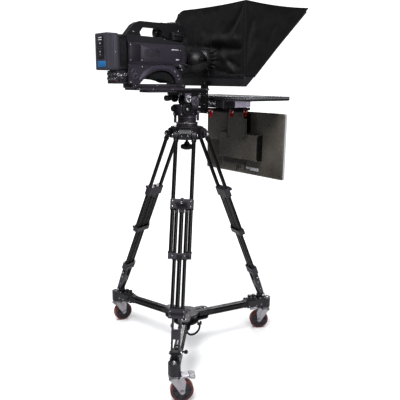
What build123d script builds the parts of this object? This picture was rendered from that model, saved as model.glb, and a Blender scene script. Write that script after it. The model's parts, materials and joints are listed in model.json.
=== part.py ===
from build123d import *
from math import atan2, cos, degrees, hypot, radians, sin
import os

os.makedirs("parts", exist_ok=True)

# A studio teleprompter rig: a three-arm wheeled dolly, a tripod standing on it, a fluid head,
# a shoulder camera on a long plate, a fabric hood with a beam-splitter glass in front of the
# lens, a flat script monitor under the glass and a second monitor hanging towards the talent.
# Millimetres. The model is drawn round the pan axis: X = Y = 0 is the pan axis, Z = 0 is the
# floor and +X is the way the lens looks. ROW moves it so that its own box is centred.

# ---- row frame -------------------------------------------------------------------------
AXIS_X = -44.243
AXIS_Y = -42.438
ROW = Location((AXIS_X, AXIS_Y, 0))

# ---- dolly and casters -----------------------------------------------------------------
SIDES = {"front": -135, "right": -15, "left": 105}
FIRST_SIDE = -135
TRAIL_ANGLE = {"front": -32, "right": 143, "left": -8}
SWIVEL_R = 478
WHEEL_R = 50
WHEEL_W = 32
TREAD = 8
TRAIL = 32
AXLE_R = 5
FORK_GAP = 38
FORK_WALL = 3.5
CROWN_Z = 104
PAD_Z = 126
STEM_R = 10
ARM_Z = 160
ARM_SIZE = 34
ARM_START = 70
ARM_END = 356
HUB_PLATE = 8
HUB_REACH = 95
RUN = 0.05

# ---- tripod ----------------------------------------------------------------------------
FOOT_R = 446.5
FOOT_Z = 205
HINGE_R = 80
HINGE_Z = 1088
LEG_TILT = degrees(atan2(FOOT_R - HINGE_R, HINGE_Z - FOOT_Z))
LEG_LENGTH = hypot(FOOT_R - HINGE_R, HINGE_Z - FOOT_Z)
OUTER_TUBE_R = 9
OUTER_TUBE_Y = 41
INNER_TUBE_R = 8
INNER_TUBE_Y = 23
CENTRE_TUBE_R = 9.5
TUBE_WALL = 2
BLOCK_LOW = 142
BLOCK_TOP = 182
COLLAR_LOW = 395
COLLAR_TOP = 421
CROSSHEAD_LOW = 616
CROSSHEAD_TOP = 661
PIN_R = 5
OPEN_PIVOT_GAP = 4.6
EYE_WALL = 5.4

# ---- bowl and fluid head ---------------------------------------------------------------
BOWL_TOP = 1123
BOWL_BOTTOM = 1064
BALL_R = 50
BALL_Z = 1126
PAN_Z = 1158
TILT_X = 8
TILT_Z = 1238
TILT_SHAFT_R = 8
CRADLE_Z = 1266
PLATE_Z = 1278
BASE_PLATE_Z = 1288
QUICK_PLATE_Z = 1296
QUICK_PLATE_TOP = 1314

# ---- prompter --------------------------------------------------------------------------
UPRIGHT_X = 97
UPRIGHT_FRONT = 115
UPRIGHT_HALF = 19
UPRIGHT_TOP = 1330
ROD_R = 7.5
ROD_Y = 30
ROD_Z = 1194
ROD_START = 96
ROD_END = 384
CLAMP_X = (243, 341)
REAR_LEVER_X = 108
HALF_WIDTH = 250
MONITOR_BACK = 131
MONITOR_FRONT = 434
MONITOR_LOW = 1242
MONITOR_TOP = 1261
HOOD_REAR = 115
HOOD_LOW = 1307
HOOD_TOP = 1664
BAND_TOP = 1348
FRAME_X = 132
FRAME_ANGLE = 41
FRAME_LENGTH = 528
FRAME_DEPTH = 18
FRAME_WIDTH = 20
FRAME_HALF = 246.5
FABRIC = 3
LENS_Z = 1424
LENS_HOLE_R = 64

# ---- talent monitor --------------------------------------------------------------------
TALENT_X = 371
TALENT_FRONT = 390
TALENT_HALF = 276
TALENT_LOW = 861
TALENT_TOP = 1181
BULGE_X = 334

# ---- camera ----------------------------------------------------------------------------
CAMERA_HALF = 56
BODY_REAR = -351
BODY_FRONT = -68
BODY_LOW = 1396
BODY_TOP = 1509
ROOF_IN = 26
ROOF_DROP = 34
BATTERY_REAR = -444
BATTERY_FRONT = -394.5


def save(piece, label, place=Location()):
    """Put a finished piece in the row frame, label it and write it."""
    placed = piece.moved(ROW * place)
    placed.label = label
    export_step(placed, f"parts/{label}.step")


def block(x0, x1, y0, y1, z0, z1, mode=Mode.ADD):
    """A square-edged block between two corners."""
    with Locations(((x0 + x1) / 2, (y0 + y1) / 2, (z0 + z1) / 2)):
        Box(x1 - x0, y1 - y0, z1 - z0, mode=mode)


def disc_x(x0, x1, y, z, radius, mode=Mode.ADD):
    """A round piece on an axis along X."""
    with Locations(((x0 + x1) / 2, y, z)):
        Cylinder(radius, x1 - x0, rotation=(0, 90, 0), mode=mode)


def disc_y(x, y0, y1, z, radius, mode=Mode.ADD):
    """A round piece on an axis along Y."""
    with Locations((x, (y0 + y1) / 2, z)):
        Cylinder(radius, y1 - y0, rotation=(90, 0, 0), mode=mode)


def disc_z(x, y, z0, z1, radius, mode=Mode.ADD):
    """A round piece on an axis along Z."""
    with Locations((x, y, (z0 + z1) / 2)):
        Cylinder(radius, z1 - z0, mode=mode)


def slab(x0, x1, y0, y1, z0, z1, radius, mode=Mode.ADD):
    """A block with its four upright edges rounded."""
    with BuildSketch(Plane.XY.offset(z0)) as outline:
        with Locations(((x0 + x1) / 2, (y0 + y1) / 2)):
            RectangleRounded(x1 - x0, y1 - y0, radius)
    extrude(outline.sketch, amount=z1 - z0, mode=mode)


def side_plate(points, y0, y1, mode=Mode.ADD):
    """An outline drawn in X and Z, given thickness from y0 to y1."""
    with BuildSketch(Plane.XZ.offset(-y1)) as outline:
        with BuildLine():
            Polyline(*points, close=True)
        make_face()
    extrude(outline.sketch, amount=y1 - y0, mode=mode)


def hexagon(x, y, z0, z1, radius):
    """A hexagon head or nut standing along Z."""
    with BuildSketch(Plane.XY.offset(z0)) as outline:
        with Locations((x, y)):
            RegularPolygon(radius, 6)
    extrude(outline.sketch, amount=z1 - z0)


def tube_z(x, y, z0, z1, radius, wall):
    """A hollow tube standing along Z."""
    disc_z(x, y, z0, z1, radius)
    disc_z(x, y, z0, z1, radius - wall, mode=Mode.SUBTRACT)


def three_times(piece, label):
    """Write one node holding a piece repeated for the three sides of the rig."""
    with BuildPart() as group:
        with PolarLocations(0, 3, FIRST_SIDE):
            add(piece)
    save(group.part, label)


# ======================================================================================
# Dolly
# ======================================================================================
hub_low = ARM_Z - ARM_SIZE / 2 - HUB_PLATE
hub_high = ARM_Z + ARM_SIZE / 2 + HUB_PLATE
BAIL_Y = -58
BAIL_Z = hub_low - 10
BAIL_HALF = 42
BAIL_EYE = 5

with BuildPart() as dolly_hub:
    for plate_z in (hub_low, hub_high - HUB_PLATE):
        with BuildSketch(Plane.XY.offset(plate_z)):
            Circle(66)
            with PolarLocations(HUB_REACH / 2, 3, FIRST_SIDE):
                SlotCenterToCenter(HUB_REACH, 60)
        extrude(amount=HUB_PLATE)
    fillet(dolly_hub.edges().group_by(Axis.Z)[-1], 3)
    fillet(dolly_hub.edges().group_by(Axis.Z)[0], 3)
    disc_z(0, 0, hub_low, hub_high, 40)
    disc_z(0, 0, hub_high - 3, hub_high, 24, mode=Mode.SUBTRACT)
    disc_z(0, 0, hub_high - 3, hub_high + 3, 9)
    with PolarLocations(HUB_REACH, 3, FIRST_SIDE):
        Cylinder(PIN_R + RUN, 3 * ARM_Z, mode=Mode.SUBTRACT)
    for eye_x in (-BAIL_HALF, BAIL_HALF):
        for lug_x in (eye_x - 8, eye_x + 8):
            block(lug_x - 2, lug_x + 2, BAIL_Y - 6, BAIL_Y + 6, BAIL_Z - 6, hub_low + 1)
        disc_x(eye_x - 10, eye_x + 10, BAIL_Y, BAIL_Z, 3)
save(dolly_hub.part, "dolly_hub")

with BuildPart() as dolly_arm:
    with BuildSketch(Plane.YZ.offset(ARM_START)):
        with Locations((0, ARM_Z)):
            RectangleRounded(ARM_SIZE, ARM_SIZE, 7)
            RectangleRounded(ARM_SIZE - 6, ARM_SIZE - 6, 4, mode=Mode.SUBTRACT)
    extrude(amount=ARM_END - ARM_START)
    disc_z(HUB_REACH, 0, 0, 2 * ARM_Z, PIN_R + RUN, mode=Mode.SUBTRACT)
three_times(dolly_arm.part, "dolly_arms")

# Each arm ends in a casting: a socket for the arm, a pad over the caster, a cradle for a foot.
CRADLE_TOP = 190
FOOT_HALF = 12
BRACKET_TOP = ARM_Z + 20
KNOB_X = (ARM_END + 20, ARM_END + 44)
with BuildPart() as dolly_bracket:
    slab(ARM_END, 452, -22, 22, ARM_Z - 20, BRACKET_TOP, 5)
    fillet(dolly_bracket.edges().group_by(Axis.Z)[-1], 3)
    disc_z(SWIVEL_R, 0, PAD_Z, BRACKET_TOP - 2, 27)
    slab(420, SWIVEL_R, -20, 20, PAD_Z + 6, BRACKET_TOP - 2, 6)
    block(ARM_END + 8, 412, -14, 14, BRACKET_TOP - 4, BRACKET_TOP + 8)
    block(424, 470, -FOOT_HALF - 8, FOOT_HALF + 8, ARM_Z + 10, CRADLE_TOP)
    block(424, 470, -FOOT_HALF, FOOT_HALF, BRACKET_TOP, CRADLE_TOP, mode=Mode.SUBTRACT)
    disc_z(SWIVEL_R, 0, PAD_Z - 1, 152, STEM_R, mode=Mode.SUBTRACT)
three_times(dolly_bracket.part, "dolly_brackets")

# Pivot bolts through the hub, and hold-down screws with round knobs on the brackets.
with BuildPart() as bolt_set:
    disc_z(HUB_REACH, 0, hub_low - 6, hub_high + 7, PIN_R)
    hexagon(HUB_REACH, 0, hub_high, hub_high + 6, 9)
    hexagon(HUB_REACH, 0, hub_low - 6, hub_low, 9)
    for knob_x in KNOB_X:
        disc_z(knob_x, 0, BRACKET_TOP + 8, BRACKET_TOP + 14, 5)
        disc_z(knob_x, 0, BRACKET_TOP + 14, BRACKET_TOP + 26, 9)
    disc_y(ARM_END + 14, 22, 34, ARM_Z + 8, 4)
    with Locations((ARM_END + 14, 38, ARM_Z + 8)):
        Sphere(9)
    fillet(bolt_set.edges().filter_by(GeomType.CIRCLE).group_by(Axis.Z)[-1], 2)
three_times(bolt_set.part, "dolly_fasteners")

# A bail handle hangs under the hub on two lugs and swings up to lift the folded dolly.
with BuildPart() as dolly_handle:
    with BuildLine() as bail:
        Spline(
            (-BAIL_HALF, BAIL_Y, BAIL_Z),
            (-BAIL_HALF + 5, BAIL_Y - 3, BAIL_Z - 26),
            (0, BAIL_Y - 6, BAIL_Z - 42),
            (BAIL_HALF - 5, BAIL_Y - 3, BAIL_Z - 26),
            (BAIL_HALF, BAIL_Y, BAIL_Z),
        )
    with BuildSketch(Plane(origin=bail.line @ 0, z_dir=bail.line % 0)):
        Circle(BAIL_EYE)
    sweep()
    for eye_x in (-BAIL_HALF, BAIL_HALF):
        disc_x(eye_x - BAIL_EYE, eye_x + BAIL_EYE, BAIL_Y, BAIL_Z, 7)
    for eye_x in (-BAIL_HALF, BAIL_HALF):
        disc_x(eye_x - 9, eye_x + 9, BAIL_Y, BAIL_Z, 3 + RUN, mode=Mode.SUBTRACT)
save(dolly_handle.part, "dolly_handle")

# ======================================================================================
# Casters, drawn with the swivel axis on Z and the wheel trailing towards +X
# ======================================================================================
PEDAL_X = 30
PEDAL_Z = 115
PEDAL_PIN = 3
leg_in = FORK_GAP / 2
leg_out = leg_in + FORK_WALL

with BuildPart() as caster_fork:
    disc_z(0, 0, PAD_Z - 0.5, 150, STEM_R - RUN)
    disc_z(0, 0, CROWN_Z + 12, PAD_Z - 0.5, 21)
    disc_z(0, 0, CROWN_Z + 5, CROWN_Z + 13, 23)
    slab(-24, 22, -leg_out, leg_out, CROWN_Z, CROWN_Z + 6, 8)
    fork_side = [
        (-16, CROWN_Z),
        (-12, CROWN_Z + 6),
        (18, CROWN_Z + 6),
        (PEDAL_X - 6, PEDAL_Z + 6),
        (PEDAL_X + 6, PEDAL_Z + 6),
        (TRAIL + 16, CROWN_Z - 8),
        (TRAIL + 10, WHEEL_R - 4),
        (TRAIL, WHEEL_R - 11),
        (TRAIL - 10, WHEEL_R - 4),
    ]
    side_plate(fork_side, leg_in, leg_out)
    side_plate(fork_side, -leg_out, -leg_in)
    fillet(caster_fork.edges().filter_by(Axis.Y).group_by(Axis.Z)[0], 6)
    disc_y(PEDAL_X, -leg_out, leg_out, PEDAL_Z, PEDAL_PIN)
    disc_y(TRAIL, -leg_out - 1, leg_out + 1, WHEEL_R, AXLE_R, mode=Mode.SUBTRACT)
    disc_y(TRAIL, -leg_out - 5, leg_out + 5, WHEEL_R, AXLE_R)
    disc_y(TRAIL, leg_out, leg_out + 5, WHEEL_R, 8.5)
    disc_y(TRAIL, -leg_out - 5, -leg_out, WHEEL_R, 8.5)

with BuildPart() as caster_core:
    with BuildSketch(Plane.XY) as core_half:
        with BuildLine():
            Polyline(
                (AXLE_R + RUN, 0),
                (AXLE_R + RUN, leg_in - 0.5),
                (15, leg_in - 0.5),
                (17, 10),
                (WHEEL_R - TREAD - 8, 10),
                (WHEEL_R - TREAD - 4, WHEEL_W / 2 - 1),
                (WHEEL_R - TREAD, WHEEL_W / 2 - 1),
                (WHEEL_R - TREAD, 0),
                close=True,
            )
        make_face()
        mirror(about=Plane.XZ)
    revolve(axis=Axis.Y)

with BuildPart() as caster_tread:
    with BuildSketch(Plane.XY):
        with Locations((WHEEL_R - TREAD / 2, 0)):
            Rectangle(TREAD, WHEEL_W)
    revolve(axis=Axis.Y)
    fillet(caster_tread.edges().filter_by(GeomType.CIRCLE).group_by(SortBy.RADIUS)[-1], 5)

caster_wheel = Compound(
    children=[piece.part.moved(Location((TRAIL, 0, WHEEL_R))) for piece in (caster_core, caster_tread)]
)

with BuildPart() as brake_pedal:
    tread_tip = [
        (PEDAL_X + 30, PEDAL_Z - 2),
        (PEDAL_X + 54, PEDAL_Z - 6),
        (PEDAL_X + 58, PEDAL_Z + 5),
        (PEDAL_X + 31, PEDAL_Z + 8),
    ]
    side_plate(tread_tip, -leg_in - 4, leg_in + 4)
    fillet(brake_pedal.edges().filter_by(Axis.Y), 1.5)
    pedal_arm = [
        (PEDAL_X, PEDAL_Z - 5),
        (PEDAL_X + 34, PEDAL_Z - 1),
        (PEDAL_X + 34, PEDAL_Z + 6),
        (PEDAL_X, PEDAL_Z + 5),
    ]
    side_plate(pedal_arm, -leg_in + 1.5, leg_in - 1.5)
    disc_y(PEDAL_X, -leg_in + 1.5, leg_in - 1.5, PEDAL_Z, 6)
    disc_y(PEDAL_X, -leg_in, leg_in, PEDAL_Z, PEDAL_PIN + RUN, mode=Mode.SUBTRACT)

for side, azimuth in SIDES.items():
    swivel = Location(
        (SWIVEL_R * cos(radians(azimuth)), SWIVEL_R * sin(radians(azimuth)), 0),
        (0, 0, TRAIL_ANGLE[side]),
    )
    save(caster_fork.part, f"caster_fork_{side}", swivel)
    save(caster_wheel, f"caster_wheel_{side}", swivel)
    save(brake_pedal.part, f"brake_pedal_{side}", swivel)

# ======================================================================================
# Tripod legs
# ======================================================================================
with BuildPart() as leg_foot:
    block(428, 465, -FOOT_HALF, FOOT_HALF, BRACKET_TOP, FOOT_Z)
    disc_y(FOOT_R, -FOOT_HALF, FOOT_HALF, FOOT_Z, FOOT_HALF)
    disc_y(FOOT_R, -FOOT_HALF, FOOT_HALF, FOOT_Z, PIN_R, mode=Mode.SUBTRACT)
    disc_y(FOOT_R, -FOOT_HALF - 13, FOOT_HALF + 13, FOOT_Z, PIN_R)
    for side in (-1, 1):
        disc_y(FOOT_R, side * (FOOT_HALF + 10) - 2, side * (FOOT_HALF + 10) + 2, FOOT_Z, 8)
three_times(leg_foot.part, "leg_feet")

# A leg is drawn along Z from the foot pivot, with Y across the leg and X facing outwards.
FORK_IN = FOOT_HALF + 0.5
FORK_OUT = FOOT_HALF + 7.5
with BuildPart() as leg_lower:
    for tube_y, tube_r, tube_top in (
        (-INNER_TUBE_Y, INNER_TUBE_R, CROSSHEAD_LOW),
        (0, CENTRE_TUBE_R, CROSSHEAD_LOW - 16),
        (INNER_TUBE_Y, INNER_TUBE_R, CROSSHEAD_LOW),
    ):
        tube_z(0, tube_y, BLOCK_TOP, tube_top, tube_r, TUBE_WALL)
    slab(-15, 15, -37, 37, BLOCK_LOW, BLOCK_TOP, 6)
    for ankle_in in (-FORK_OUT, FORK_IN):
        side_plate(
            [
                (-15, BLOCK_LOW + 2),
                (15, BLOCK_LOW + 2),
                (14, 70),
                (10, 0),
                (5, -9),
                (-5, -9),
                (-10, 0),
                (-14, 70),
            ],
            ankle_in,
            ankle_in + FORK_OUT - FORK_IN,
        )
    block(-13, 13, -FORK_IN, FORK_IN, 56, 96)
    disc_y(0, -FORK_OUT - 1, FORK_OUT + 1, 0, PIN_R + RUN, mode=Mode.SUBTRACT)
    for side in (-1, 1):
        disc_y(3, side * (FORK_OUT + 2) - 2, side * (FORK_OUT + 2) + 2, 112, 9)
    block(-12, 12, -12, 12, CROSSHEAD_LOW - 16, CROSSHEAD_LOW)

with BuildPart() as crosshead:
    slab(-15, 15, -52, 52, CROSSHEAD_LOW, CROSSHEAD_TOP, 7)
    fillet(crosshead.edges().group_by(Axis.Z)[-1], 3)
    disc_x(14, 19, 0, (CROSSHEAD_LOW + CROSSHEAD_TOP) / 2, 13)
    disc_x(14, 27, 0, (CROSSHEAD_LOW + CROSSHEAD_TOP) / 2, 4)
    disc_x(6, 20, 0, CROSSHEAD_TOP - 6, 3, mode=Mode.SUBTRACT)
    disc_z(0, 0, CROSSHEAD_TOP - 1, CROSSHEAD_TOP + 6, 7)
    for tube_y in (-OUTER_TUBE_Y, OUTER_TUBE_Y):
        disc_z(0, tube_y, CROSSHEAD_LOW - 1, CROSSHEAD_TOP + 1, OUTER_TUBE_R + RUN, mode=Mode.SUBTRACT)

leg_inner = Compound(children=[leg_lower.part, crosshead.part])

with BuildPart() as leg_tubes:
    for tube_y in (-OUTER_TUBE_Y, OUTER_TUBE_Y):
        tube_z(0, tube_y, COLLAR_TOP, LEG_LENGTH - 14, OUTER_TUBE_R, TUBE_WALL)

with BuildPart() as lower_collar:
    slab(-15, 15, -51, 51, COLLAR_LOW, COLLAR_TOP, 7)
    for tube_y in (-INNER_TUBE_Y, INNER_TUBE_Y):
        disc_z(0, tube_y, COLLAR_LOW - 1, COLLAR_TOP + 1, INNER_TUBE_R + RUN, mode=Mode.SUBTRACT)
    disc_z(0, 0, COLLAR_LOW - 1, COLLAR_TOP + 1, CENTRE_TUBE_R + RUN, mode=Mode.SUBTRACT)
    disc_x(14, 18, 38, (COLLAR_LOW + COLLAR_TOP) / 2, 6)

EYE_HOLE = PIN_R + OPEN_PIVOT_GAP
EYE_R = EYE_HOLE + EYE_WALL
EYE_IN = OUTER_TUBE_Y - OUTER_TUBE_R
EYE_OUT = OUTER_TUBE_Y + OUTER_TUBE_R + 0.5
with BuildPart() as leg_eyes:
    for side in (-1, 1):
        eye_low = min(side * EYE_IN, side * EYE_OUT)
        disc_y(0, eye_low, eye_low + EYE_OUT - EYE_IN, LEG_LENGTH, EYE_R)
        disc_y(0, eye_low - 1, eye_low + EYE_OUT - EYE_IN + 1, LEG_LENGTH, EYE_HOLE, mode=Mode.SUBTRACT)

leg_outer = Compound(children=[leg_tubes.part, lower_collar.part, leg_eyes.part])

# A wing lever on the outer face of the crosshead clamps the leg at its length.
LOCK_S = (CROSSHEAD_LOW + CROSSHEAD_TOP) / 2
with BuildPart() as leg_lock:
    disc_x(19.5, 36, 0, LOCK_S, 10)
    with BuildSketch(Plane.YZ.offset(27)):
        with Locations((0, LOCK_S)):
            SlotOverall(52, 15)
    extrude(amount=11)
    chamfer(leg_lock.edges().group_by(Axis.X)[-1], 1.5)
    disc_x(19, 27.5, 0, LOCK_S, 4 + RUN, mode=Mode.SUBTRACT)

for side, azimuth in SIDES.items():
    across = radians(azimuth)
    lean = radians(LEG_TILT)
    leg_plane = Plane(
        origin=(FOOT_R * cos(across), FOOT_R * sin(across), FOOT_Z),
        x_dir=(cos(lean) * cos(across), cos(lean) * sin(across), sin(lean)),
        z_dir=(-sin(lean) * cos(across), -sin(lean) * sin(across), cos(lean)),
    )
    save(leg_inner, f"leg_inner_{side}", leg_plane.location)
    save(leg_outer, f"leg_outer_{side}", leg_plane.location)
    save(leg_lock.part, f"leg_lock_{side}", leg_plane.location)

# ======================================================================================
# Bowl
# ======================================================================================
LOBE_HALF = 30
STUD_R = 6
with BuildPart() as lobe:
    side_plate(
        [
            (20, BOWL_TOP - 4),
            (68, BOWL_TOP - 4),
            (86, BOWL_TOP - 12),
            (98, HINGE_Z + 4),
            (98, HINGE_Z - 8),
            (90, HINGE_Z - 17),
            (76, HINGE_Z - 22),
            (20, BOWL_BOTTOM + 2),
        ],
        -LOBE_HALF,
        LOBE_HALF,
    )
    fillet(lobe.edges().filter_by(Axis.Y).group_by(Axis.X)[-1], 4)
    fillet(lobe.faces().filter_by(Axis.Y).edges(), 2)

with BuildPart() as tripod_bowl:
    disc_z(0, 0, BOWL_BOTTOM, BOWL_TOP, 64)
    disc_z(0, 0, BOWL_TOP - 9, BOWL_TOP, 71)
    with PolarLocations(0, 3, FIRST_SIDE):
        add(lobe.part)
    with Locations((0, 0, BALL_Z)):
        Sphere(BALL_R, mode=Mode.SUBTRACT)
    disc_z(0, 0, BOWL_BOTTOM - 1, BOWL_TOP, 30, mode=Mode.SUBTRACT)
    with PolarLocations(HINGE_R, 3, FIRST_SIDE):
        with Locations((0, 0, HINGE_Z)):
            Cylinder(PIN_R, 2 * LOBE_HALF + 2, rotation=(90, 0, 0), mode=Mode.SUBTRACT)
            Cylinder(PIN_R, 110, rotation=(90, 0, 0))
            with Locations((0, 53.5, 0), (0, -53.5, 0)):
                Cylinder(8.5, 5, rotation=(90, 0, 0))
save(tripod_bowl.part, "tripod_bowl")

# The fluted knob under the bowl draws the half ball down on its stud.
KNOB_LOW = 1016
KNOB_TOP = 1050
KNOB_FLUTES = 10
KNOB_FLUTE_REACH = 33.5
with BuildPart() as bowl_clamp_knob:
    with BuildSketch(Plane.XZ):
        with BuildLine():
            Polyline(
                (0, KNOB_LOW),
                (22, KNOB_LOW),
                (29, KNOB_LOW + 4),
                (30, KNOB_LOW + 14),
                (26, KNOB_LOW + 21),
                (13, KNOB_LOW + 24),
                (11, KNOB_TOP),
                (0, KNOB_TOP),
                close=True,
            )
        make_face()
    revolve(axis=Axis.Z)
    with PolarLocations(KNOB_FLUTE_REACH, KNOB_FLUTES):
        Cylinder(6, 2 * BOWL_TOP, mode=Mode.SUBTRACT)
    disc_z(0, 0, KNOB_LOW + 8, KNOB_TOP + 1, STUD_R + RUN, mode=Mode.SUBTRACT)
save(bowl_clamp_knob.part, "bowl_clamp_knob")

# ======================================================================================
# Fluid head
# ======================================================================================
with BuildPart() as head_base:
    with Locations((0, 0, BALL_Z)):
        Sphere(BALL_R - RUN)
    disc_z(0, 0, 1000, 1086, 60, mode=Mode.SUBTRACT)
    disc_z(0, 0, 1136, 1200, 60, mode=Mode.SUBTRACT)
    disc_z(0, 0, 1025, 1090, STUD_R)
    disc_z(0, 0, 1136, 1142, 50)
    disc_z(0, 0, 1142, PAN_Z, 43)
    fillet(head_base.edges().filter_by(GeomType.CIRCLE).group_by(Axis.Z)[-1], 2)
    disc_z(0, 0, PAN_Z - 14, PAN_Z + 1, 20, mode=Mode.SUBTRACT)
save(head_base.part, "head_base")

DIAL_X = -28
DIAL_Z = 1203
HEAD_HALF = 30
PAN_LEVER_X = 32
PAN_LEVER_Z = 1190
TILT_LEVER_Z = 1182
LEVER_HALF = 5
LEVER_REACH = 40
with BuildPart() as head_body:
    disc_z(0, 0, PAN_Z + 0.5, 1174.5, 43)
    slab(-62, 50, -HEAD_HALF, HEAD_HALF, 1174, 1224, 9)
    fillet(head_body.edges().group_by(Axis.Z)[-1], 4)
    block(TILT_X - 22, TILT_X + 22, -HEAD_HALF, HEAD_HALF, 1218, TILT_Z)
    disc_y(TILT_X, -HEAD_HALF, HEAD_HALF, TILT_Z, 22)
    disc_z(0, 0, PAN_Z - 13, PAN_Z + 1, 20 - RUN)
    disc_y(TILT_X, -HEAD_HALF - 1, HEAD_HALF + 1, TILT_Z, TILT_SHAFT_R, mode=Mode.SUBTRACT)
    disc_y(DIAL_X, -HEAD_HALF - 9, -HEAD_HALF, DIAL_Z, 6 - RUN)
    disc_y(PAN_LEVER_X, -HEAD_HALF - 10, -HEAD_HALF, PAN_LEVER_Z, 4 - RUN)
    disc_x(-72, -62, 0, TILT_LEVER_Z, 4 - RUN)
    disc_x(-70, -62, 18, 1205, 5 - RUN)
save(head_body.part, "head_body")

with BuildPart() as tilt_drag_dial:
    disc_y(DIAL_X, -HEAD_HALF - 11, -HEAD_HALF - 0.5, DIAL_Z, 28)
    fillet(tilt_drag_dial.edges().group_by(Axis.Y)[0], 3)
    disc_y(DIAL_X, -HEAD_HALF - 12, -HEAD_HALF - 9.5, DIAL_Z, 21, mode=Mode.SUBTRACT)
    disc_y(DIAL_X, -HEAD_HALF - 9.2, -HEAD_HALF, DIAL_Z, 6, mode=Mode.SUBTRACT)
save(tilt_drag_dial.part, "tilt_drag_dial")

with BuildPart() as pan_drag_dial:
    disc_x(-73, -62.5, 18, 1205, 13)
    fillet(pan_drag_dial.edges().group_by(Axis.X)[0], 2)
    disc_x(-70.2, -62, 18, 1205, 5, mode=Mode.SUBTRACT)
save(pan_drag_dial.part, "pan_drag_dial")

with BuildPart() as tilt_lock_lever:
    disc_x(-75, -62.5, 0, TILT_LEVER_Z, 9)
    block(-74, -66, -LEVER_HALF, LEVER_HALF, TILT_LEVER_Z - LEVER_REACH, TILT_LEVER_Z)
    fillet(tilt_lock_lever.edges().filter_by(Axis.X).group_by(Axis.Z)[0], 4)
    disc_x(-72.2, -62, 0, TILT_LEVER_Z, 4, mode=Mode.SUBTRACT)
save(tilt_lock_lever.part, "tilt_lock_lever")

with BuildPart() as pan_lock_lever:
    disc_y(PAN_LEVER_X, -HEAD_HALF - 14, -HEAD_HALF - 0.5, PAN_LEVER_Z, 9)
    block(
        PAN_LEVER_X - LEVER_HALF,
        PAN_LEVER_X + LEVER_HALF,
        -HEAD_HALF - 14,
        -HEAD_HALF - 7,
        PAN_LEVER_Z - LEVER_REACH,
        PAN_LEVER_Z,
    )
    fillet(pan_lock_lever.edges().filter_by(Axis.Y).group_by(Axis.Z)[0], 4)
    disc_y(PAN_LEVER_X, -HEAD_HALF - 10.2, -HEAD_HALF, PAN_LEVER_Z, 4, mode=Mode.SUBTRACT)
save(pan_lock_lever.part, "pan_lock_lever")

CHEEK_IN = HEAD_HALF + 0.5
CHEEK_OUT = 41.5
RAIL_IN = 35
with BuildPart() as tilt_cradle:
    slab(-85, 90, -44, 44, CRADLE_Z, PLATE_Z, 8)
    for cheek_low in (-CHEEK_OUT, CHEEK_IN):
        block(TILT_X - 20, TILT_X + 20, cheek_low, cheek_low + CHEEK_OUT - CHEEK_IN, TILT_Z, CRADLE_Z + 1)
        disc_y(TILT_X, cheek_low, cheek_low + CHEEK_OUT - CHEEK_IN, TILT_Z, 20)
    disc_y(TILT_X, -CHEEK_OUT - 1, CHEEK_OUT + 1, TILT_Z, TILT_SHAFT_R - RUN)
    disc_y(TILT_X, -CHEEK_OUT - 12, -CHEEK_OUT, TILT_Z, 23)
    disc_y(TILT_X, CHEEK_OUT, CHEEK_OUT + 8, TILT_Z, 20)
    fillet(tilt_cradle.edges().group_by(Axis.Y)[0], 3)
    for side in (-1, 1):
        lug_low = min(side * 43, side * 51)
        block(-50, -18, lug_low, lug_low + 8, 1240, CRADLE_Z + 8)
        disc_y(-34, lug_low, lug_low + 8, 1249, 16)
        ring_low = min(side * 51, side * 56)
        disc_y(-34, ring_low, ring_low + 5, 1249, 16.5)
        disc_y(-34, min(side * 43, side * 57), max(side * 43, side * 57), 1249, 5, mode=Mode.SUBTRACT)
        block(-85, 90, min(side * RAIL_IN, side * 44), max(side * RAIL_IN, side * 44), PLATE_Z, PLATE_Z + 8)
    block(-85, -76, 8, 32, 1243, CRADLE_Z + 1)
    disc_x(-92, -80, 20, 1252, 4 - RUN)
save(tilt_cradle.part, "tilt_cradle")

with BuildPart() as plate_lock_knob:
    disc_x(-112, -85.5, 20, 1252, 12)
    fillet(plate_lock_knob.edges().group_by(Axis.X)[0], 3)
    disc_x(-92.2, -85, 20, 1252, 4, mode=Mode.SUBTRACT)
save(plate_lock_knob.part, "plate_lock_knob")

# ======================================================================================
# Plates under the camera
# ======================================================================================
with BuildPart() as sliding_plate:
    slab(-242, UPRIGHT_X - 1, -RAIL_IN + 0.5, RAIL_IN - 0.5, PLATE_Z, BASE_PLATE_Z, 4)
    chamfer(sliding_plate.edges().filter_by(Axis.X).group_by(Axis.Z)[-1], 1.5)
save(sliding_plate.part, "sliding_plate")

with BuildPart() as prompter_base_plate:
    slab(-309, UPRIGHT_X, -48, 48, BASE_PLATE_Z, QUICK_PLATE_Z, 6)
    with Locations((-150, 0), (-190, 0), (-230, 0)):
        Cylinder(4.9, 4 * BASE_PLATE_Z, mode=Mode.SUBTRACT)
save(prompter_base_plate.part, "prompter_base_plate")

# The upright joins the base plate to the hood's band above and to the rod block below.
with BuildPart() as prompter_upright:
    slab(UPRIGHT_X, UPRIGHT_FRONT, -UPRIGHT_HALF, UPRIGHT_HALF, ROD_Z, UPRIGHT_TOP, 3)
    slab(UPRIGHT_X - 5, UPRIGHT_FRONT + 7, -42, 42, ROD_Z - 14, ROD_Z + 12, 3)
    for side in (-1, 1):
        disc_x(UPRIGHT_X - 6, UPRIGHT_FRONT + 8, side * ROD_Y, ROD_Z, ROD_R, mode=Mode.SUBTRACT)
    disc_y(REAR_LEVER_X, -52, -42, ROD_Z - 4, 4 - RUN)
save(prompter_upright.part, "prompter_upright")

with BuildPart() as camera_quick_plate:
    slab(-322, -40, -40, 40, QUICK_PLATE_Z, QUICK_PLATE_TOP, 5)
    chamfer(camera_quick_plate.edges().filter_by(Axis.X).group_by(Axis.Z)[0], 3)
    slab(-96, -64, -34, 34, QUICK_PLATE_TOP, QUICK_PLATE_TOP + 4, 4)
save(camera_quick_plate.part, "camera_quick_plate")

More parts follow.
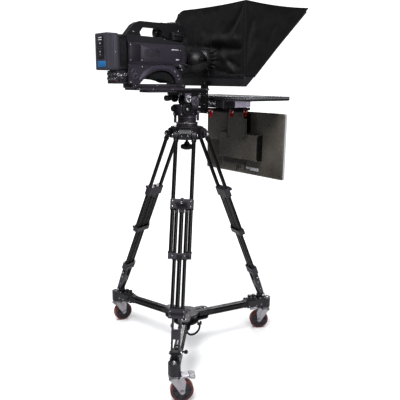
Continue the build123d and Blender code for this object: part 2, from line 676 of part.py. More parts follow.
# ======================================================================================
# Prompter: rods, clamps, script monitor
# ======================================================================================
with BuildPart() as prompter_rods:
    for side in (-1, 1):
        disc_x(ROD_START, ROD_END, side * ROD_Y, ROD_Z, ROD_R)
    chamfer(prompter_rods.edges().filter_by(GeomType.CIRCLE), 1)
save(prompter_rods.part, "prompter_rods")

LEVER_Z = ROD_Z - 10
CLAMP_LOW = ROD_Z - 16
CLAMP_TOP = 1203
CARRIAGE_TOP = 1207
with BuildPart() as rod_clamps:
    for clamp_x in CLAMP_X:
        slab(clamp_x - 12, clamp_x + 12, -43, 43, CLAMP_LOW, CLAMP_TOP, 4)
        disc_y(clamp_x, -53, -43, LEVER_Z, 4 - RUN)
    slab(CLAMP_X[0] - 12, CLAMP_X[1] + 12, -43, 43, CLAMP_TOP, CARRIAGE_TOP, 4)
    for side in (-1, 1):
        disc_x(UPRIGHT_FRONT, ROD_END, side * ROD_Y, ROD_Z, ROD_R + RUN, mode=Mode.SUBTRACT)
save(rod_clamps.part, "rod_clamps")


def clamp_lever(x, z, y_face, label):
    """A red cam lever on a stub along Y, its arm hanging down and back."""
    with BuildPart() as lever:
        disc_y(x, y_face - 13, y_face - 0.5, z, 8)
        side_plate([(x - 6, z), (x + 6, z), (x + 1, z - 27), (x - 11, z - 25)], y_face - 12, y_face - 4)
        fillet(lever.edges().filter_by(Axis.Y).group_by(Axis.Z)[0], 2.5)
        disc_y(x, y_face - 10.2, y_face, z, 4, mode=Mode.SUBTRACT)
    save(lever.part, label)


clamp_lever(REAR_LEVER_X, ROD_Z - 4, -42, "rod_lever_rear")
clamp_lever(CLAMP_X[0], LEVER_Z, -43, "rod_lever_middle")
clamp_lever(CLAMP_X[1], LEVER_Z, -43, "rod_lever_front")

BEZEL = 14
with BuildPart() as prompter_monitor_shell:
    slab(MONITOR_BACK, MONITOR_FRONT, -HALF_WIDTH, HALF_WIDTH, MONITOR_LOW, MONITOR_TOP, 5)
    chamfer(prompter_monitor_shell.edges().group_by(Axis.Z)[0], 3)
    slab(
        MONITOR_BACK + BEZEL,
        MONITOR_FRONT - BEZEL,
        -HALF_WIDTH + BEZEL,
        HALF_WIDTH - BEZEL,
        MONITOR_TOP - 3,
        MONITOR_TOP + 1,
        1,
        mode=Mode.SUBTRACT,
    )
    for box_rear, box_front in ((MONITOR_BACK + 4, 212), (215, 322)):
        slab(box_rear, box_front, -100, 100, CARRIAGE_TOP, MONITOR_LOW + 1, 5)
save(prompter_monitor_shell.part, "prompter_monitor_shell")

with BuildPart() as prompter_monitor_screen:
    slab(
        MONITOR_BACK + BEZEL + 0.3,
        MONITOR_FRONT - BEZEL - 0.3,
        -HALF_WIDTH + BEZEL + 0.3,
        HALF_WIDTH - BEZEL - 0.3,
        MONITOR_TOP - 3,
        MONITOR_TOP - 1,
        1,
    )
save(prompter_monitor_screen.part, "prompter_monitor_screen")

# ======================================================================================
# Prompter: glass frame, glass and hood
# ======================================================================================
slope = radians(FRAME_ANGLE)
# X of this plane runs up the slope, Y across the rig and Z out of the back of the glass.
frame_plane = Plane(
    origin=(FRAME_X, 0, HOOD_LOW),
    x_dir=(cos(slope), 0, sin(slope)),
    z_dir=(-sin(slope), 0, cos(slope)),
)
REBATE = 6
GLASS_LOW = 7
GLASS_T = 4

with BuildPart() as glass_frame:
    with BuildSketch(Plane.XY) as frame_ring:
        with Locations((FRAME_LENGTH / 2, 0)):
            Rectangle(FRAME_LENGTH, 2 * FRAME_HALF)
            Rectangle(FRAME_LENGTH - 2 * FRAME_WIDTH, 2 * (FRAME_HALF - FRAME_WIDTH), mode=Mode.SUBTRACT)
    extrude(amount=FRAME_DEPTH)
    with BuildSketch(Plane.XY.offset(GLASS_LOW)):
        with Locations((FRAME_LENGTH / 2, 0)):
            Rectangle(FRAME_LENGTH - 2 * FRAME_WIDTH + 2 * REBATE, 2 * (FRAME_HALF - FRAME_WIDTH + REBATE))
    extrude(amount=GLASS_T, mode=Mode.SUBTRACT)

with BuildPart() as hood_frame:
    add(glass_frame.part.moved(frame_plane.location))
    block(HOOD_REAR, FRAME_X - 2, -HALF_WIDTH, HALF_WIDTH, HOOD_LOW, BAND_TOP - 1)
    block(HOOD_REAR, FRAME_X + 8, -HALF_WIDTH, HALF_WIDTH, HOOD_LOW, HOOD_LOW + 8)
    for side in (-1, 1):
        side_plate(
            [(HOOD_REAR, HOOD_LOW), (FRAME_X, HOOD_LOW), (178, BAND_TOP - 1), (HOOD_REAR, BAND_TOP - 1)],
            min(side * (FRAME_HALF - 1), side * HALF_WIDTH),
            max(side * (FRAME_HALF - 1), side * HALF_WIDTH),
        )
    # everything on the glass side of the frame's lower face is cut away
    split(bisect_by=frame_plane, keep=Keep.TOP)
save(hood_frame.part, "hood_frame")

with BuildPart() as glass:
    with Locations((FRAME_LENGTH / 2, 0, GLASS_LOW + GLASS_T / 2)):
        Box(
            FRAME_LENGTH - 2 * FRAME_WIDTH + 2 * REBATE - 0.6,
            2 * (FRAME_HALF - FRAME_WIDTH + REBATE) - 0.6,
            GLASS_T - 0.2,
        )
save(glass.part.moved(frame_plane.location), "beam_splitter_glass")

frame_top = Vector(FRAME_X + FRAME_LENGTH * cos(slope), 0, HOOD_LOW + FRAME_LENGTH * sin(slope))
peak = frame_top + Vector(-sin(slope), 0, cos(slope)) * (FRAME_DEPTH + 2 * FABRIC)
side_bottom = FRAME_X + (BAND_TOP - HOOD_LOW) / sin(slope) * cos(slope)
with BuildPart() as hood_fabric:
    side_plate(
        [
            (HOOD_REAR, BAND_TOP),
            (HOOD_REAR, HOOD_TOP),
            (peak.X, peak.Z),
            (frame_top.X + 2, frame_top.Z + 2),
            (side_bottom, BAND_TOP),
        ],
        -HALF_WIDTH,
        HALF_WIDTH,
    )
    side_plate(
        [
            (HOOD_REAR + FABRIC, BAND_TOP - 20),
            (HOOD_REAR + FABRIC, HOOD_TOP - FABRIC),
            (peak.X + 1, peak.Z - FABRIC),
            (frame_top.X + 60, frame_top.Z),
            (side_bottom + 60, BAND_TOP - 20),
        ],
        -HALF_WIDTH + FABRIC,
        HALF_WIDTH - FABRIC,
        mode=Mode.SUBTRACT,
    )
    disc_x(HOOD_REAR - 5, HOOD_REAR + 10, 0, LENS_Z, LENS_HOLE_R, mode=Mode.SUBTRACT)
save(hood_fabric.part, "hood_fabric")

# ======================================================================================
# Talent monitor
# ======================================================================================
VESA = 100
VESA_Y = 3
VESA_Z = 1000
SCREEN_BEZEL = 16
with BuildPart() as talent_monitor_shell:
    with BuildSketch(Plane.YZ.offset(TALENT_X)):
        with Locations((0, (TALENT_LOW + TALENT_TOP) / 2)):
            RectangleRounded(2 * TALENT_HALF, TALENT_TOP - TALENT_LOW, 6)
    extrude(amount=TALENT_FRONT - TALENT_X)
    chamfer(talent_monitor_shell.edges().group_by(Axis.X)[0], 5)
    with BuildSketch(Plane.YZ.offset(TALENT_X + 1)):
        with Locations((0, 1006)):
            RectangleRounded(284, 137, 9)
    extrude(amount=BULGE_X - TALENT_X - 1, taper=4)
    fillet(talent_monitor_shell.edges().group_by(Axis.X)[0], 4)
    with BuildSketch(Plane.YZ.offset(TALENT_FRONT)):
        with Locations((0, (TALENT_LOW + TALENT_TOP) / 2 + 4)):
            RectangleRounded(2 * (TALENT_HALF - SCREEN_BEZEL), TALENT_TOP - TALENT_LOW - 2 * SCREEN_BEZEL - 8, 1)
    extrude(amount=-3, mode=Mode.SUBTRACT)
    with BuildSketch(Plane.YZ.offset(BULGE_X)):
        with Locations((VESA_Y, VESA_Z)):
            with GridLocations(VESA, VESA, 2, 2):
                Circle(2)
    extrude(amount=12, mode=Mode.SUBTRACT)
save(talent_monitor_shell.part, "talent_monitor_shell")

with BuildPart() as talent_monitor_screen:
    with BuildSketch(Plane.YZ.offset(TALENT_FRONT - 3)):
        with Locations((0, (TALENT_LOW + TALENT_TOP) / 2 + 4)):
            RectangleRounded(
                2 * (TALENT_HALF - SCREEN_BEZEL) - 0.6, TALENT_TOP - TALENT_LOW - 2 * SCREEN_BEZEL - 8.6, 1
            )
    extrude(amount=2)
save(talent_monitor_screen.part, "talent_monitor_screen")

# The bracket's back is cut in at the top on one side, where the front red lever swings.
BRACKET_Y = (VESA_Y - 68, VESA_Y + 68)
BRACKET_LOW = 1039
BRACKET_NECK = 1150
with BuildPart() as talent_bracket:
    block(BULGE_X - 6, BULGE_X - 0.2, *BRACKET_Y, BRACKET_LOW, BRACKET_NECK)
    fillet(talent_bracket.edges().filter_by(Axis.X), 4)
    block(BULGE_X - 6, BULGE_X - 0.2, -42, BRACKET_Y[1], BRACKET_NECK - 6, CLAMP_LOW)
    block(BULGE_X - 6, CLAMP_X[1] + 12, -42, 43, CLAMP_LOW - 5, CLAMP_LOW)
save(talent_bracket.part, "talent_bracket")

# ======================================================================================
# Camera
# ======================================================================================
with BuildPart() as camera_body:
    side_plate(
        [
            (BODY_REAR, BODY_LOW),
            (BODY_REAR, BODY_TOP),
            (-200, BODY_TOP - 2),
            (BODY_FRONT, BODY_TOP - 20),
            (BODY_FRONT + 12, BODY_TOP - 40),
            (BODY_FRONT + 6, BODY_LOW - 10),
            (-120, BODY_LOW),
        ],
        -CAMERA_HALF,
        CAMERA_HALF,
    )
    # the top slopes down to both flanks
    with BuildSketch(Plane.YZ.offset(BODY_REAR - 1)) as cross_section:
        with BuildLine():
            Polyline(
                (-CAMERA_HALF, BODY_LOW - 20),
                (-CAMERA_HALF, BODY_TOP - ROOF_DROP),
                (-CAMERA_HALF + ROOF_IN, BODY_TOP + 1),
                (CAMERA_HALF - ROOF_IN, BODY_TOP + 1),
                (CAMERA_HALF, BODY_TOP - ROOF_DROP),
                (CAMERA_HALF, BODY_LOW - 20),
                close=True,
            )
        make_face()
    extrude(cross_section.sketch, amount=BODY_FRONT - BODY_REAR + 20, mode=Mode.INTERSECT)
    fillet(camera_body.edges().filter_by(Axis.X).group_by(Axis.Z)[0], 3)
    slab(-394, BODY_REAR + 1, -46, 46, 1372, 1506, 6)
    slab(-402, -352, -42, 30, QUICK_PLATE_TOP, 1365, 4)
    block(-392, BODY_REAR, -40, 28, 1360, 1400)
    disc_x(BODY_FRONT, -44, 0, LENS_Z, 50)
save(camera_body.part, "camera_body")

SHOULDER_TOP = BODY_LOW - 0.2
REAR_FOOT = QUICK_PLATE_TOP + 0.2
FRONT_FOOT = QUICK_PLATE_TOP + 4.2
with BuildPart() as camera_shoulder_frame:
    with BuildSketch(Plane.XZ.offset(-52)):
        with BuildLine():
            Polyline(
                (-176, SHOULDER_TOP),
                (-350, SHOULDER_TOP),
                (-350, REAR_FOOT),
                (-296, REAR_FOOT),
            )
            Spline((-296, REAR_FOOT), (-252, 1350), (-190, 1371), (-134, 1360), (-104, FRONT_FOOT))
            Polyline(
                (-104, FRONT_FOOT),
                (-74, FRONT_FOOT),
                (-74, 1342),
                (-94, 1372),
                (-120, SHOULDER_TOP),
                (-176, SHOULDER_TOP),
            )
        make_face()
    extrude(amount=104)
save(camera_shoulder_frame.part, "camera_shoulder_frame")

with BuildPart() as camera_handle:
    with BuildSketch(Plane.XZ.offset(-15)):
        with BuildLine():
            Polyline(
                (-338, BODY_TOP),
                (-300, 1552),
                (-278, 1564),
                (-92, 1572),
                (-24, 1560),
                (-18, 1520),
                (-54, 1494),
                (-100, 1502),
                (-150, 1516),
                (-152, 1534),
                (-176, 1546),
                (-250, 1546),
                (-268, 1524),
                (-262, BODY_TOP),
                close=True,
            )
        make_face()
    extrude(amount=30)
    fillet(camera_handle.edges().filter_by(Axis.Y).group_by(Axis.Z)[-1], 8)
save(camera_handle.part, "camera_handle")

with BuildPart() as battery:
    with BuildSketch(Plane.YZ.offset(BATTERY_REAR)):
        with Locations((-1, 1438.5)):
            RectangleRounded(96, 143, 6)
    extrude(amount=BATTERY_FRONT - BATTERY_REAR)
    fillet(battery.edges().group_by(Axis.X)[0], 3)
save(battery.part, "battery")

with BuildPart() as lens_barrel:
    with BuildSketch(Plane.XZ):
        with BuildLine():
            Polyline(
                (-44, LENS_Z),
                (-44, LENS_Z + 42),
                (-20, LENS_Z + 42),
                (-16, LENS_Z + 36),
                (70, LENS_Z + 36),
                (84, LENS_Z + 47),
                (138, LENS_Z + 47),
                (138, LENS_Z + 41),
                (128, LENS_Z + 40),
                (122, LENS_Z),
                close=True,
            )
        make_face()
    revolve(axis=Axis((0, 0, LENS_Z), (1, 0, 0)))
save(lens_barrel.part, "lens_barrel")

with BuildPart() as lens_zoom_ring:
    disc_x(24, 64, 0, LENS_Z, 41)
    disc_x(20, 68, 0, LENS_Z, 36 + RUN, mode=Mode.SUBTRACT)
    disc_x(34, 40, 0, LENS_Z, 43)
    disc_x(20, 68, 0, LENS_Z, 36 + RUN, mode=Mode.SUBTRACT)
save(lens_zoom_ring.part, "lens_zoom_ring")

GRIP_Y = -47
with BuildPart() as lens_servo_grip:
    with BuildSketch(Plane.XZ.offset(-GRIP_Y)):
        with Locations(Location((8, 1414), -8)):
            Ellipse(47, 44)
    with BuildSketch(Plane.XZ.offset(34 - GRIP_Y)):
        with Locations(Location((6, 1412), -8)):
            Ellipse(44, 41)
    with BuildSketch(Plane.XZ.offset(54 - GRIP_Y)):
        with Locations(Location((4, 1410), -8)):
            Ellipse(28, 26)
    loft()
    block(-14, 18, GRIP_Y - 2, -30, 1412, 1436)
    disc_x(-40, 30, 0, LENS_Z, 36, mode=Mode.SUBTRACT)
    disc_x(20, 68, 0, LENS_Z, 44, mode=Mode.SUBTRACT)
save(lens_servo_grip.part, "lens_servo_grip")

with BuildPart() as viewfinder:
    disc_x(-70, 40, 88, 1538, 21)
    fillet(viewfinder.edges().group_by(Axis.X)[-1], 4)
    disc_x(-92, -70, 88, 1538, 26)
    disc_x(-93, -80, 88, 1538, 19, mode=Mode.SUBTRACT)
    disc_y(-40, 16, 76, 1538, 9)
save(viewfinder.part, "viewfinder")
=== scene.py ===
import json
import math

import bmesh
import bpy
from mathutils import Matrix, Vector, noise


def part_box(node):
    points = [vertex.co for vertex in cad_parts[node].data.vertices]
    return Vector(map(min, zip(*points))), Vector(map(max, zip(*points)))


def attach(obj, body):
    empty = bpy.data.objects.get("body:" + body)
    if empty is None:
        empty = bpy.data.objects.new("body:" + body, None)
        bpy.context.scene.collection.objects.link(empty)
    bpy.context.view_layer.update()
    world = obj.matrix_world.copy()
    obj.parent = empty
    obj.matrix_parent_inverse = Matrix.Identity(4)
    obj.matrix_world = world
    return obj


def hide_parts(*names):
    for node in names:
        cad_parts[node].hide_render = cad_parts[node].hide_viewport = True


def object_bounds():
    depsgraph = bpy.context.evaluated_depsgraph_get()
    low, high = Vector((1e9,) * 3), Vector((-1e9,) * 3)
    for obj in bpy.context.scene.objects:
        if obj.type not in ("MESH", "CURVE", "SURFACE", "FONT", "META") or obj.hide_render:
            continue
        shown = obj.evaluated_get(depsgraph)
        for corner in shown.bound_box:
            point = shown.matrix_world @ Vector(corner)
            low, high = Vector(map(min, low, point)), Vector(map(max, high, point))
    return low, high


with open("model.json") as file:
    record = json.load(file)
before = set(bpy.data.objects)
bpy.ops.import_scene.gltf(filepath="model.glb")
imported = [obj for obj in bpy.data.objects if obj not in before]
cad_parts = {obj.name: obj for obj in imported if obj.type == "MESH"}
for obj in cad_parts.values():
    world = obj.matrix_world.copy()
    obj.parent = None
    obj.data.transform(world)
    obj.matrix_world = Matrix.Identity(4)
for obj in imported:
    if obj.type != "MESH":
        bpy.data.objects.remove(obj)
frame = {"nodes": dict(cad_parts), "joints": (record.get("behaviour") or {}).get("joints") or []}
cad_low, cad_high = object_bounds()
scene = bpy.context.scene
joints = {joint["name"]: joint for joint in frame["joints"]}
MM = 0.001

# ======================================================================================
# Material tools
# ======================================================================================


class Shader:
    """A node material under construction: short calls that add a node and return its output."""

    def __init__(self, name):
        self.material = bpy.data.materials.new(name)
        self.material.use_nodes = True
        self.nodes = self.material.node_tree.nodes
        self.links = self.material.node_tree.links
        self.bsdf = self.nodes["Principled BSDF"]
        self.place = self.nodes.new("ShaderNodeTexCoord").outputs["Object"]

    def feed(self, socket, value):
        if isinstance(value, bpy.types.NodeSocket):
            self.links.new(value, socket)
        else:
            socket.default_value = value

    def add(self, kind, settings=None, out=0, **inputs):
        """A new node. Its sockets are given by name, or by number as i0, i1 and so on."""
        node = self.nodes.new(kind)
        for key, value in (settings or {}).items():
            setattr(node, key, value)
        for key, value in inputs.items():
            numbered = key[0] == "i" and key[1:].isdigit()
            self.feed(node.inputs[int(key[1:]) if numbered else key], value)
        return node.outputs[out]

    def math(self, operation, a, b=0.0, c=0.0, clamp=False):
        return self.add("ShaderNodeMath", {"operation": operation, "use_clamp": clamp}, i0=a, i1=b, i2=c)

    def dot(self, vector, direction):
        return self.add("ShaderNodeVectorMath", {"operation": "DOT_PRODUCT"}, out=1, i0=vector, i1=direction)

    def minus(self, vector, offset):
        return self.add("ShaderNodeVectorMath", {"operation": "SUBTRACT"}, i0=vector, i1=offset)

    def noise(self, scale, detail=3.0, vector=None, roughness=0.55):
        inputs = {"Scale": scale, "Detail": detail, "Roughness": roughness}
        return self.add("ShaderNodeTexNoise", None, Vector=vector or self.place, **inputs)

    def spread(self, value, low, high, new_low=0.0, new_high=1.0):
        return self.add("ShaderNodeMapRange", None, i0=value, i1=low, i2=high, i3=new_low, i4=new_high)

    def mix(self, factor, a, b):
        settings = {"data_type": "RGBA", "clamp_factor": True}
        return self.add("ShaderNodeMix", settings, out=2, i0=factor, i6=a, i7=b)

    def blend(self, factor, a, b):
        return self.add("ShaderNodeMix", {"data_type": "FLOAT"}, i0=factor, i2=a, i3=b)

    def bump(self, height, strength, distance, normal=None):
        inputs = {"Strength": strength, "Distance": distance, "Height": height}
        if normal is not None:
            inputs["Normal"] = normal
        return self.add("ShaderNodeBump", None, **inputs)

    def between(self, value, low, high):
        above = self.math("GREATER_THAN", value, low)
        below = self.math("LESS_THAN", value, high)
        return self.math("MULTIPLY", above, below)

    def along(self, origin, direction):
        """Distance of the shaded point from origin along a direction."""
        return self.dot(self.minus(self.place, tuple(origin)), tuple(direction))

    def radius(self, origin, axis):
        """Distance of the shaded point from a line."""
        offset = self.minus(self.place, tuple(origin))
        across = self.add("ShaderNodeVectorMath", {"operation": "CROSS_PRODUCT"}, i0=offset, i1=tuple(axis))
        return self.add("ShaderNodeVectorMath", {"operation": "LENGTH"}, out=1, i0=across)

    def edges(self, width):
        """A rounded normal and a mask that is 1 on worn edges."""
        rounded = self.add("ShaderNodeBevel", {"samples": 6}, Radius=width)
        flat = self.nodes.new("ShaderNodeNewGeometry").outputs["Normal"]
        return rounded, self.spread(self.dot(rounded, flat), 0.985, 0.86)

    def principled(self, **inputs):
        for key, value in inputs.items():
            self.feed(self.bsdf.inputs[key.replace("_", " ")], value)
        return self.material


def rgb(r, g, b):
    return (r, g, b, 1.0)


def lighter(color, share):
    """The colour scaled by a share, which darkens it below 1."""
    return rgb(*[min(1.0, channel * share) for channel in color[:3]])


def finish_coat(
    shader, color, rough, metal=0.0, mottle=0.18, grain=0.0006, relief=0.12, wear=0.35, shine=0.3
):
    """The shared look of a made part: slow colour drift, broken-up gloss, fine grain and rubbed edges."""
    tint = color
    if isinstance(color, tuple):
        tint = shader.mix(shader.noise(14.0, 4.0), lighter(color, 1 - mottle), lighter(color, 1 + mottle))
    smudge = shader.spread(shader.noise(45.0, 5.0), 0.3, 0.7, rough - 0.07, rough + 0.09)
    rounded, edge = shader.edges(1.2 * MM)
    scuff = shader.math("MULTIPLY", edge, shader.spread(shader.noise(160.0, 3.0), 0.42, 0.62))
    rubbed = shader.math("MULTIPLY", scuff, wear, clamp=True)
    shade = shader.mix(rubbed, tint, rgb(0.3, 0.29, 0.3))
    gloss = shader.blend(rubbed, smudge, max(rough - 0.1, 0.12))
    skin = shader.bump(shader.noise(1.0 / grain, 2.0), relief, grain, rounded)
    shader.principled(
        Base_Color=shade, Roughness=gloss, Metallic=metal, Normal=skin, Specular_IOR_Level=shine
    )
    return shader


def coated(name, color, rough, **extra):
    """A plain made surface in one colour."""
    return finish_coat(Shader(name), color, rough, **extra).material


def two_tone(name, mask_of, first, second, first_rough, second_rough, **extra):
    """One node in two finishes: mask_of(shader) is 0 where the first shows and 1 where the second shows."""
    shader = Shader(name)
    mask = mask_of(shader)
    drift = shader.spread(shader.noise(16.0, 4.0), 0.3, 0.7, 0.84, 1.18)
    base = shader.mix(mask, first, second)
    tint = shader.add("ShaderNodeVectorMath", {"operation": "SCALE"}, i0=base, i3=drift)
    finish_coat(shader, tint, 0.4, **extra)
    rough = shader.blend(mask, first_rough, second_rough)
    smudge = shader.spread(shader.noise(45.0, 5.0), 0.3, 0.7, -0.05, 0.07)
    shader.principled(Roughness=shader.math("ADD", rough, smudge, clamp=True))
    return shader.material


def dress(material, *names):
    """Give CAD nodes a material."""
    for name in names:
        data = frame["nodes"][name].data
        data.materials.clear()
        data.materials.append(material)


# ======================================================================================
# Mesh tools. Shapes are drawn in millimetres from an origin taken from the CAD model.
# ======================================================================================


def drawn_from(node, x, y, z):
    """The origin of a drawing in which the node's low corner is at (x, y, z) millimetres."""
    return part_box(node)[0] - Vector((x, y, z)) * MM


class Shape:
    """Closed solids gathered into one mesh."""

    def __init__(self, origin, turn=None):
        self.mesh = bmesh.new()
        self.origin = Vector(origin)
        self.turn = turn or Matrix.Identity(3)

    def at(self, point):
        return self.origin + self.turn @ Vector(point) * MM

    def block(self, low, high, round_by=1.0, steps=2):
        """A block between two corners with rounded edges."""
        made = bmesh.ops.create_cube(self.mesh, size=1.0)["verts"]
        middle = (Vector(low) + Vector(high)) / 2
        size = Vector(high) - Vector(low)
        for vert in made:
            vert.co = self.at(middle + Vector((vert.co.x * size.x, vert.co.y * size.y, vert.co.z * size.z)))
        self.soften(made, round_by, steps)
        return self

    def soften(self, verts, round_by, steps=2):
        """Bevel the edges that meet at the vertices."""
        edges = list({edge for vert in verts for edge in vert.link_edges})
        if round_by > 0:
            bmesh.ops.bevel(
                self.mesh,
                geom=edges,
                offset=round_by * MM,
                segments=steps,
                profile=0.5,
                affect="EDGES",
                clamp_overlap=True,
            )

    def plate(self, outline, low, high, round_by=0.8, flat="y"):
        """An outline in X and Z (or Y and Z) given thickness along the third direction."""
        def corner(a, b, depth):
            return self.at((a, depth, b) if flat == "y" else (depth, a, b))

        under = [self.mesh.verts.new(corner(a, b, low)) for a, b in outline]
        over = [self.mesh.verts.new(corner(a, b, high)) for a, b in outline]
        faces = [self.mesh.faces.new(under), self.mesh.faces.new(list(reversed(over)))]
        for index in range(len(outline)):
            after = (index + 1) % len(outline)
            faces.append(self.mesh.faces.new([under[after], under[index], over[index], over[after]]))
        bmesh.ops.recalc_face_normals(self.mesh, faces=faces)
        self.soften(under + over, round_by)
        return self

    def lathe(self, start, axis, profile, sides=40, flutes=0, flute_depth=0.0):
        """A profile of (distance along, radius) turned round an axis; a ring where its ends meet.
        Flutes are cut where the radius is largest."""
        axis = Vector(axis).normalized()
        across = axis.orthogonal().normalized()
        third = axis.cross(across)
        widest = max(radius for along, radius in profile)
        hollow = profile[0] == profile[-1]
        rings = []
        for along, radius in profile[:-1] if hollow else profile:
            centre = Vector(start) + axis * along
            if radius <= 0:
                rings.append([self.mesh.verts.new(self.at(centre))])
                continue
            ring = []
            for index in range(sides):
                angle = 2 * math.pi * index / sides
                reach = radius
                if flutes and radius > widest - flute_depth - 1.2:
                    reach -= flute_depth * (0.5 + 0.5 * math.cos(angle * flutes))
                outward = across * math.cos(angle) + third * math.sin(angle)
                ring.append(self.mesh.verts.new(self.at(centre + outward * reach)))
            rings.append(ring)
        faces = []
        for first, second in zip(rings, rings[1:] + rings[:1] if hollow else rings[1:]):
            for index in range(sides):
                after = (index + 1) % sides
                quad = [first[index % len(first)], first[after % len(first)]]
                quad += [second[after % len(second)], second[index % len(second)]]
                corners = list(dict.fromkeys(quad))
                if len(corners) > 2:
                    faces.append(self.mesh.faces.new(corners))
        for end in () if hollow else (rings[0], rings[-1]):
            if len(end) > 1:
                faces.append(self.mesh.faces.new(end))
        bmesh.ops.recalc_face_normals(self.mesh, faces=faces)
        return self

    def rod(self, start, end, radius, rim=0.6, sides=28):
        """A round bar with bevelled ends."""
        run = Vector(end) - Vector(start)
        length = run.length
        rim = min(rim, radius / 2, length / 3)
        profile = [(0, 0), (0, radius - rim), (rim, radius)]
        profile += [(length - rim, radius), (length, radius - rim), (length, 0)]
        return self.lathe(start, run, profile, sides)

    def screw(self, place, axis, radius=3.0, height=2.2):
        """A cap screw with a socket sunk into its head."""
        sunk, rim = height * 0.35, 0.4
        profile = [(-rim, 0), (-rim, radius), (height - rim, radius), (height, radius - rim)]
        profile += [(height, radius * 0.56), (sunk, radius * 0.5), (sunk, 0)]
        return self.lathe(place, axis, profile, 24)

    def hoop(self, centre, axis, radius, thick, sides=48, tube_sides=10):
        """A closed ring of round section."""
        axis = Vector(axis).normalized()
        across = axis.orthogonal().normalized()
        third = axis.cross(across)
        grid = []
        for index in range(sides):
            angle = 2 * math.pi * index / sides
            out = across * math.cos(angle) + third * math.sin(angle)
            row = []
            for step in range(tube_sides):
                turn = 2 * math.pi * step / tube_sides
                offset = out * (radius + thick * math.cos(turn)) + axis * thick * math.sin(turn)
                row.append(self.mesh.verts.new(self.at(Vector(centre) + offset)))
            grid.append(row)
        self.skin(grid, True, True)
        return self

    def cord(self, points, radius, sides=12, smooth=8):
        """A round cord or cable through the points, closed at both ends."""
        path = smooth_path(points, smooth)
        rows = []
        normal = None
        for index, point in enumerate(path):
            ahead = path[min(index + 1, len(path) - 1)] - path[max(index - 1, 0)]
            ahead.normalize()
            if normal is None:
                normal = ahead.orthogonal().normalized()
            normal = (normal - ahead * normal.dot(ahead)).normalized()
            third = ahead.cross(normal)
            row = []
            for step in range(sides):
                turn = 2 * math.pi * step / sides
                offset = (normal * math.cos(turn) + third * math.sin(turn)) * radius
                row.append(self.mesh.verts.new(self.at(point + offset)))
            rows.append(row)
        faces = self.skin(rows, False, True)
        faces.append(self.mesh.faces.new(rows[0]))
        faces.append(self.mesh.faces.new(rows[-1]))
        bmesh.ops.recalc_face_normals(self.mesh, faces=faces)
        return self

    def skin(self, rows, close_rows, close_columns):
        """Quads between rows of vertices."""
        faces = []
        row_count = len(rows) if close_rows else len(rows) - 1
        column_count = len(rows[0]) if close_columns else len(rows[0]) - 1
        for row in range(row_count):
            below, above = rows[row], rows[(row + 1) % len(rows)]
            for column in range(column_count):
                after = (column + 1) % len(below)
                faces.append(self.mesh.faces.new([below[column], below[after], above[after], above[column]]))
        bmesh.ops.recalc_face_normals(self.mesh, faces=faces)
        return faces

    def piece(self, name, material, body, slot, smooth_angle=38.0):
        """Turn the drawing into an object that rides on a body."""
        data = bpy.data.meshes.new(name)
        self.mesh.to_mesh(data)
        self.mesh.free()
        made = bpy.data.objects.new(name, data)
        scene.collection.objects.link(made)
        data.materials.append(material)
        data.shade_smooth()
        data.set_sharp_from_angle(angle=math.radians(smooth_angle))
        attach(made, body)
        return made


def smooth_path(points, steps):
    """Points along a smooth curve through the given ones."""
    points = [Vector(point) for point in points]
    path = []
    for index in range(len(points) - 1):
        before = points[max(index - 1, 0)]
        here, there = points[index], points[index + 1]
        after = points[min(index + 2, len(points) - 1)]
        for step in range(steps):
            t = step / steps
            straight = 2 * here + (there - before) * t
            square = (2 * before - 5 * here + 4 * there - after) * t**2
            cube = (3 * here - before - 3 * there + after) * t**3
            path.append(0.5 * (straight + square + cube))
    path.append(points[-1])
    return path


def rounded_outline(low_a, high_a, low_b, high_b, radius, steps=5):
    """Corners of a rectangle with rounded corners, anticlockwise."""
    corners = []
    for a, b, start in (
        (high_a - radius, high_b - radius, 0),
        (low_a + radius, high_b - radius, 90),
        (low_a + radius, low_b + radius, 180),
        (high_a - radius, low_b + radius, 270),
    ):
        for step in range(steps + 1):
            angle = math.radians(start + 90 * step / steps)
            corners.append((a + radius * math.cos(angle), b + radius * math.sin(angle)))
    return corners


def around(x, y, z, radius, degrees):
    """A place on a circle round (x, z) that faces along Y."""
    angle = math.radians(degrees)
    return (x + radius * math.cos(angle), y, z + radius * math.sin(angle))


def cap_profile(radius, height, rim=1.0, slope=1.0):
    """Profile of a turned cap whose rim slopes in over its last part."""
    return [(0, 0), (0, radius), (height - rim, radius), (height, radius - slope), (height, 0)]


def socket_profile(flange, flange_height, collar, height, bore, floor):
    """Profile of a round socket: a flange, a collar on it and a bore down to its floor."""
    profile = [(0, 0), (0, flange), (flange_height, flange), (flange_height, collar)]
    return profile + [(height, collar), (height, bore), (floor, bore - 0.2), (floor, 0)]


def band_profile(inner, outer, height, rim=0.5, slope=0.5):
    """Closed profile of a collar with both outer rims sloped."""
    low_rim = [(0, inner), (0, outer - slope), (rim, outer)]
    return low_rim + [(height - rim, outer), (height, outer - slope), (height, inner), (0, inner)]


def ring(shape, centre, axis, inner, outer, thick, sides=40, flutes=0, depth=0.0):
    """A flat ring or collar with softened edges, standing from its centre along the axis."""
    return shape.lathe(centre, axis, band_profile(inner, outer, thick), sides, flutes, depth)


# ======================================================================================
# Materials
# ======================================================================================
BLACK = rgb(0.003, 0.003, 0.0035)
COLLAR = rgb(0.035, 0.031, 0.039)
SATIN = rgb(0.007, 0.0065, 0.008)
CAST = rgb(0.018, 0.016, 0.02)
VIOLET = rgb(0.03, 0.026, 0.036)
ZINC = rgb(0.3, 0.29, 0.31)
SIDES = ("front", "right", "left")

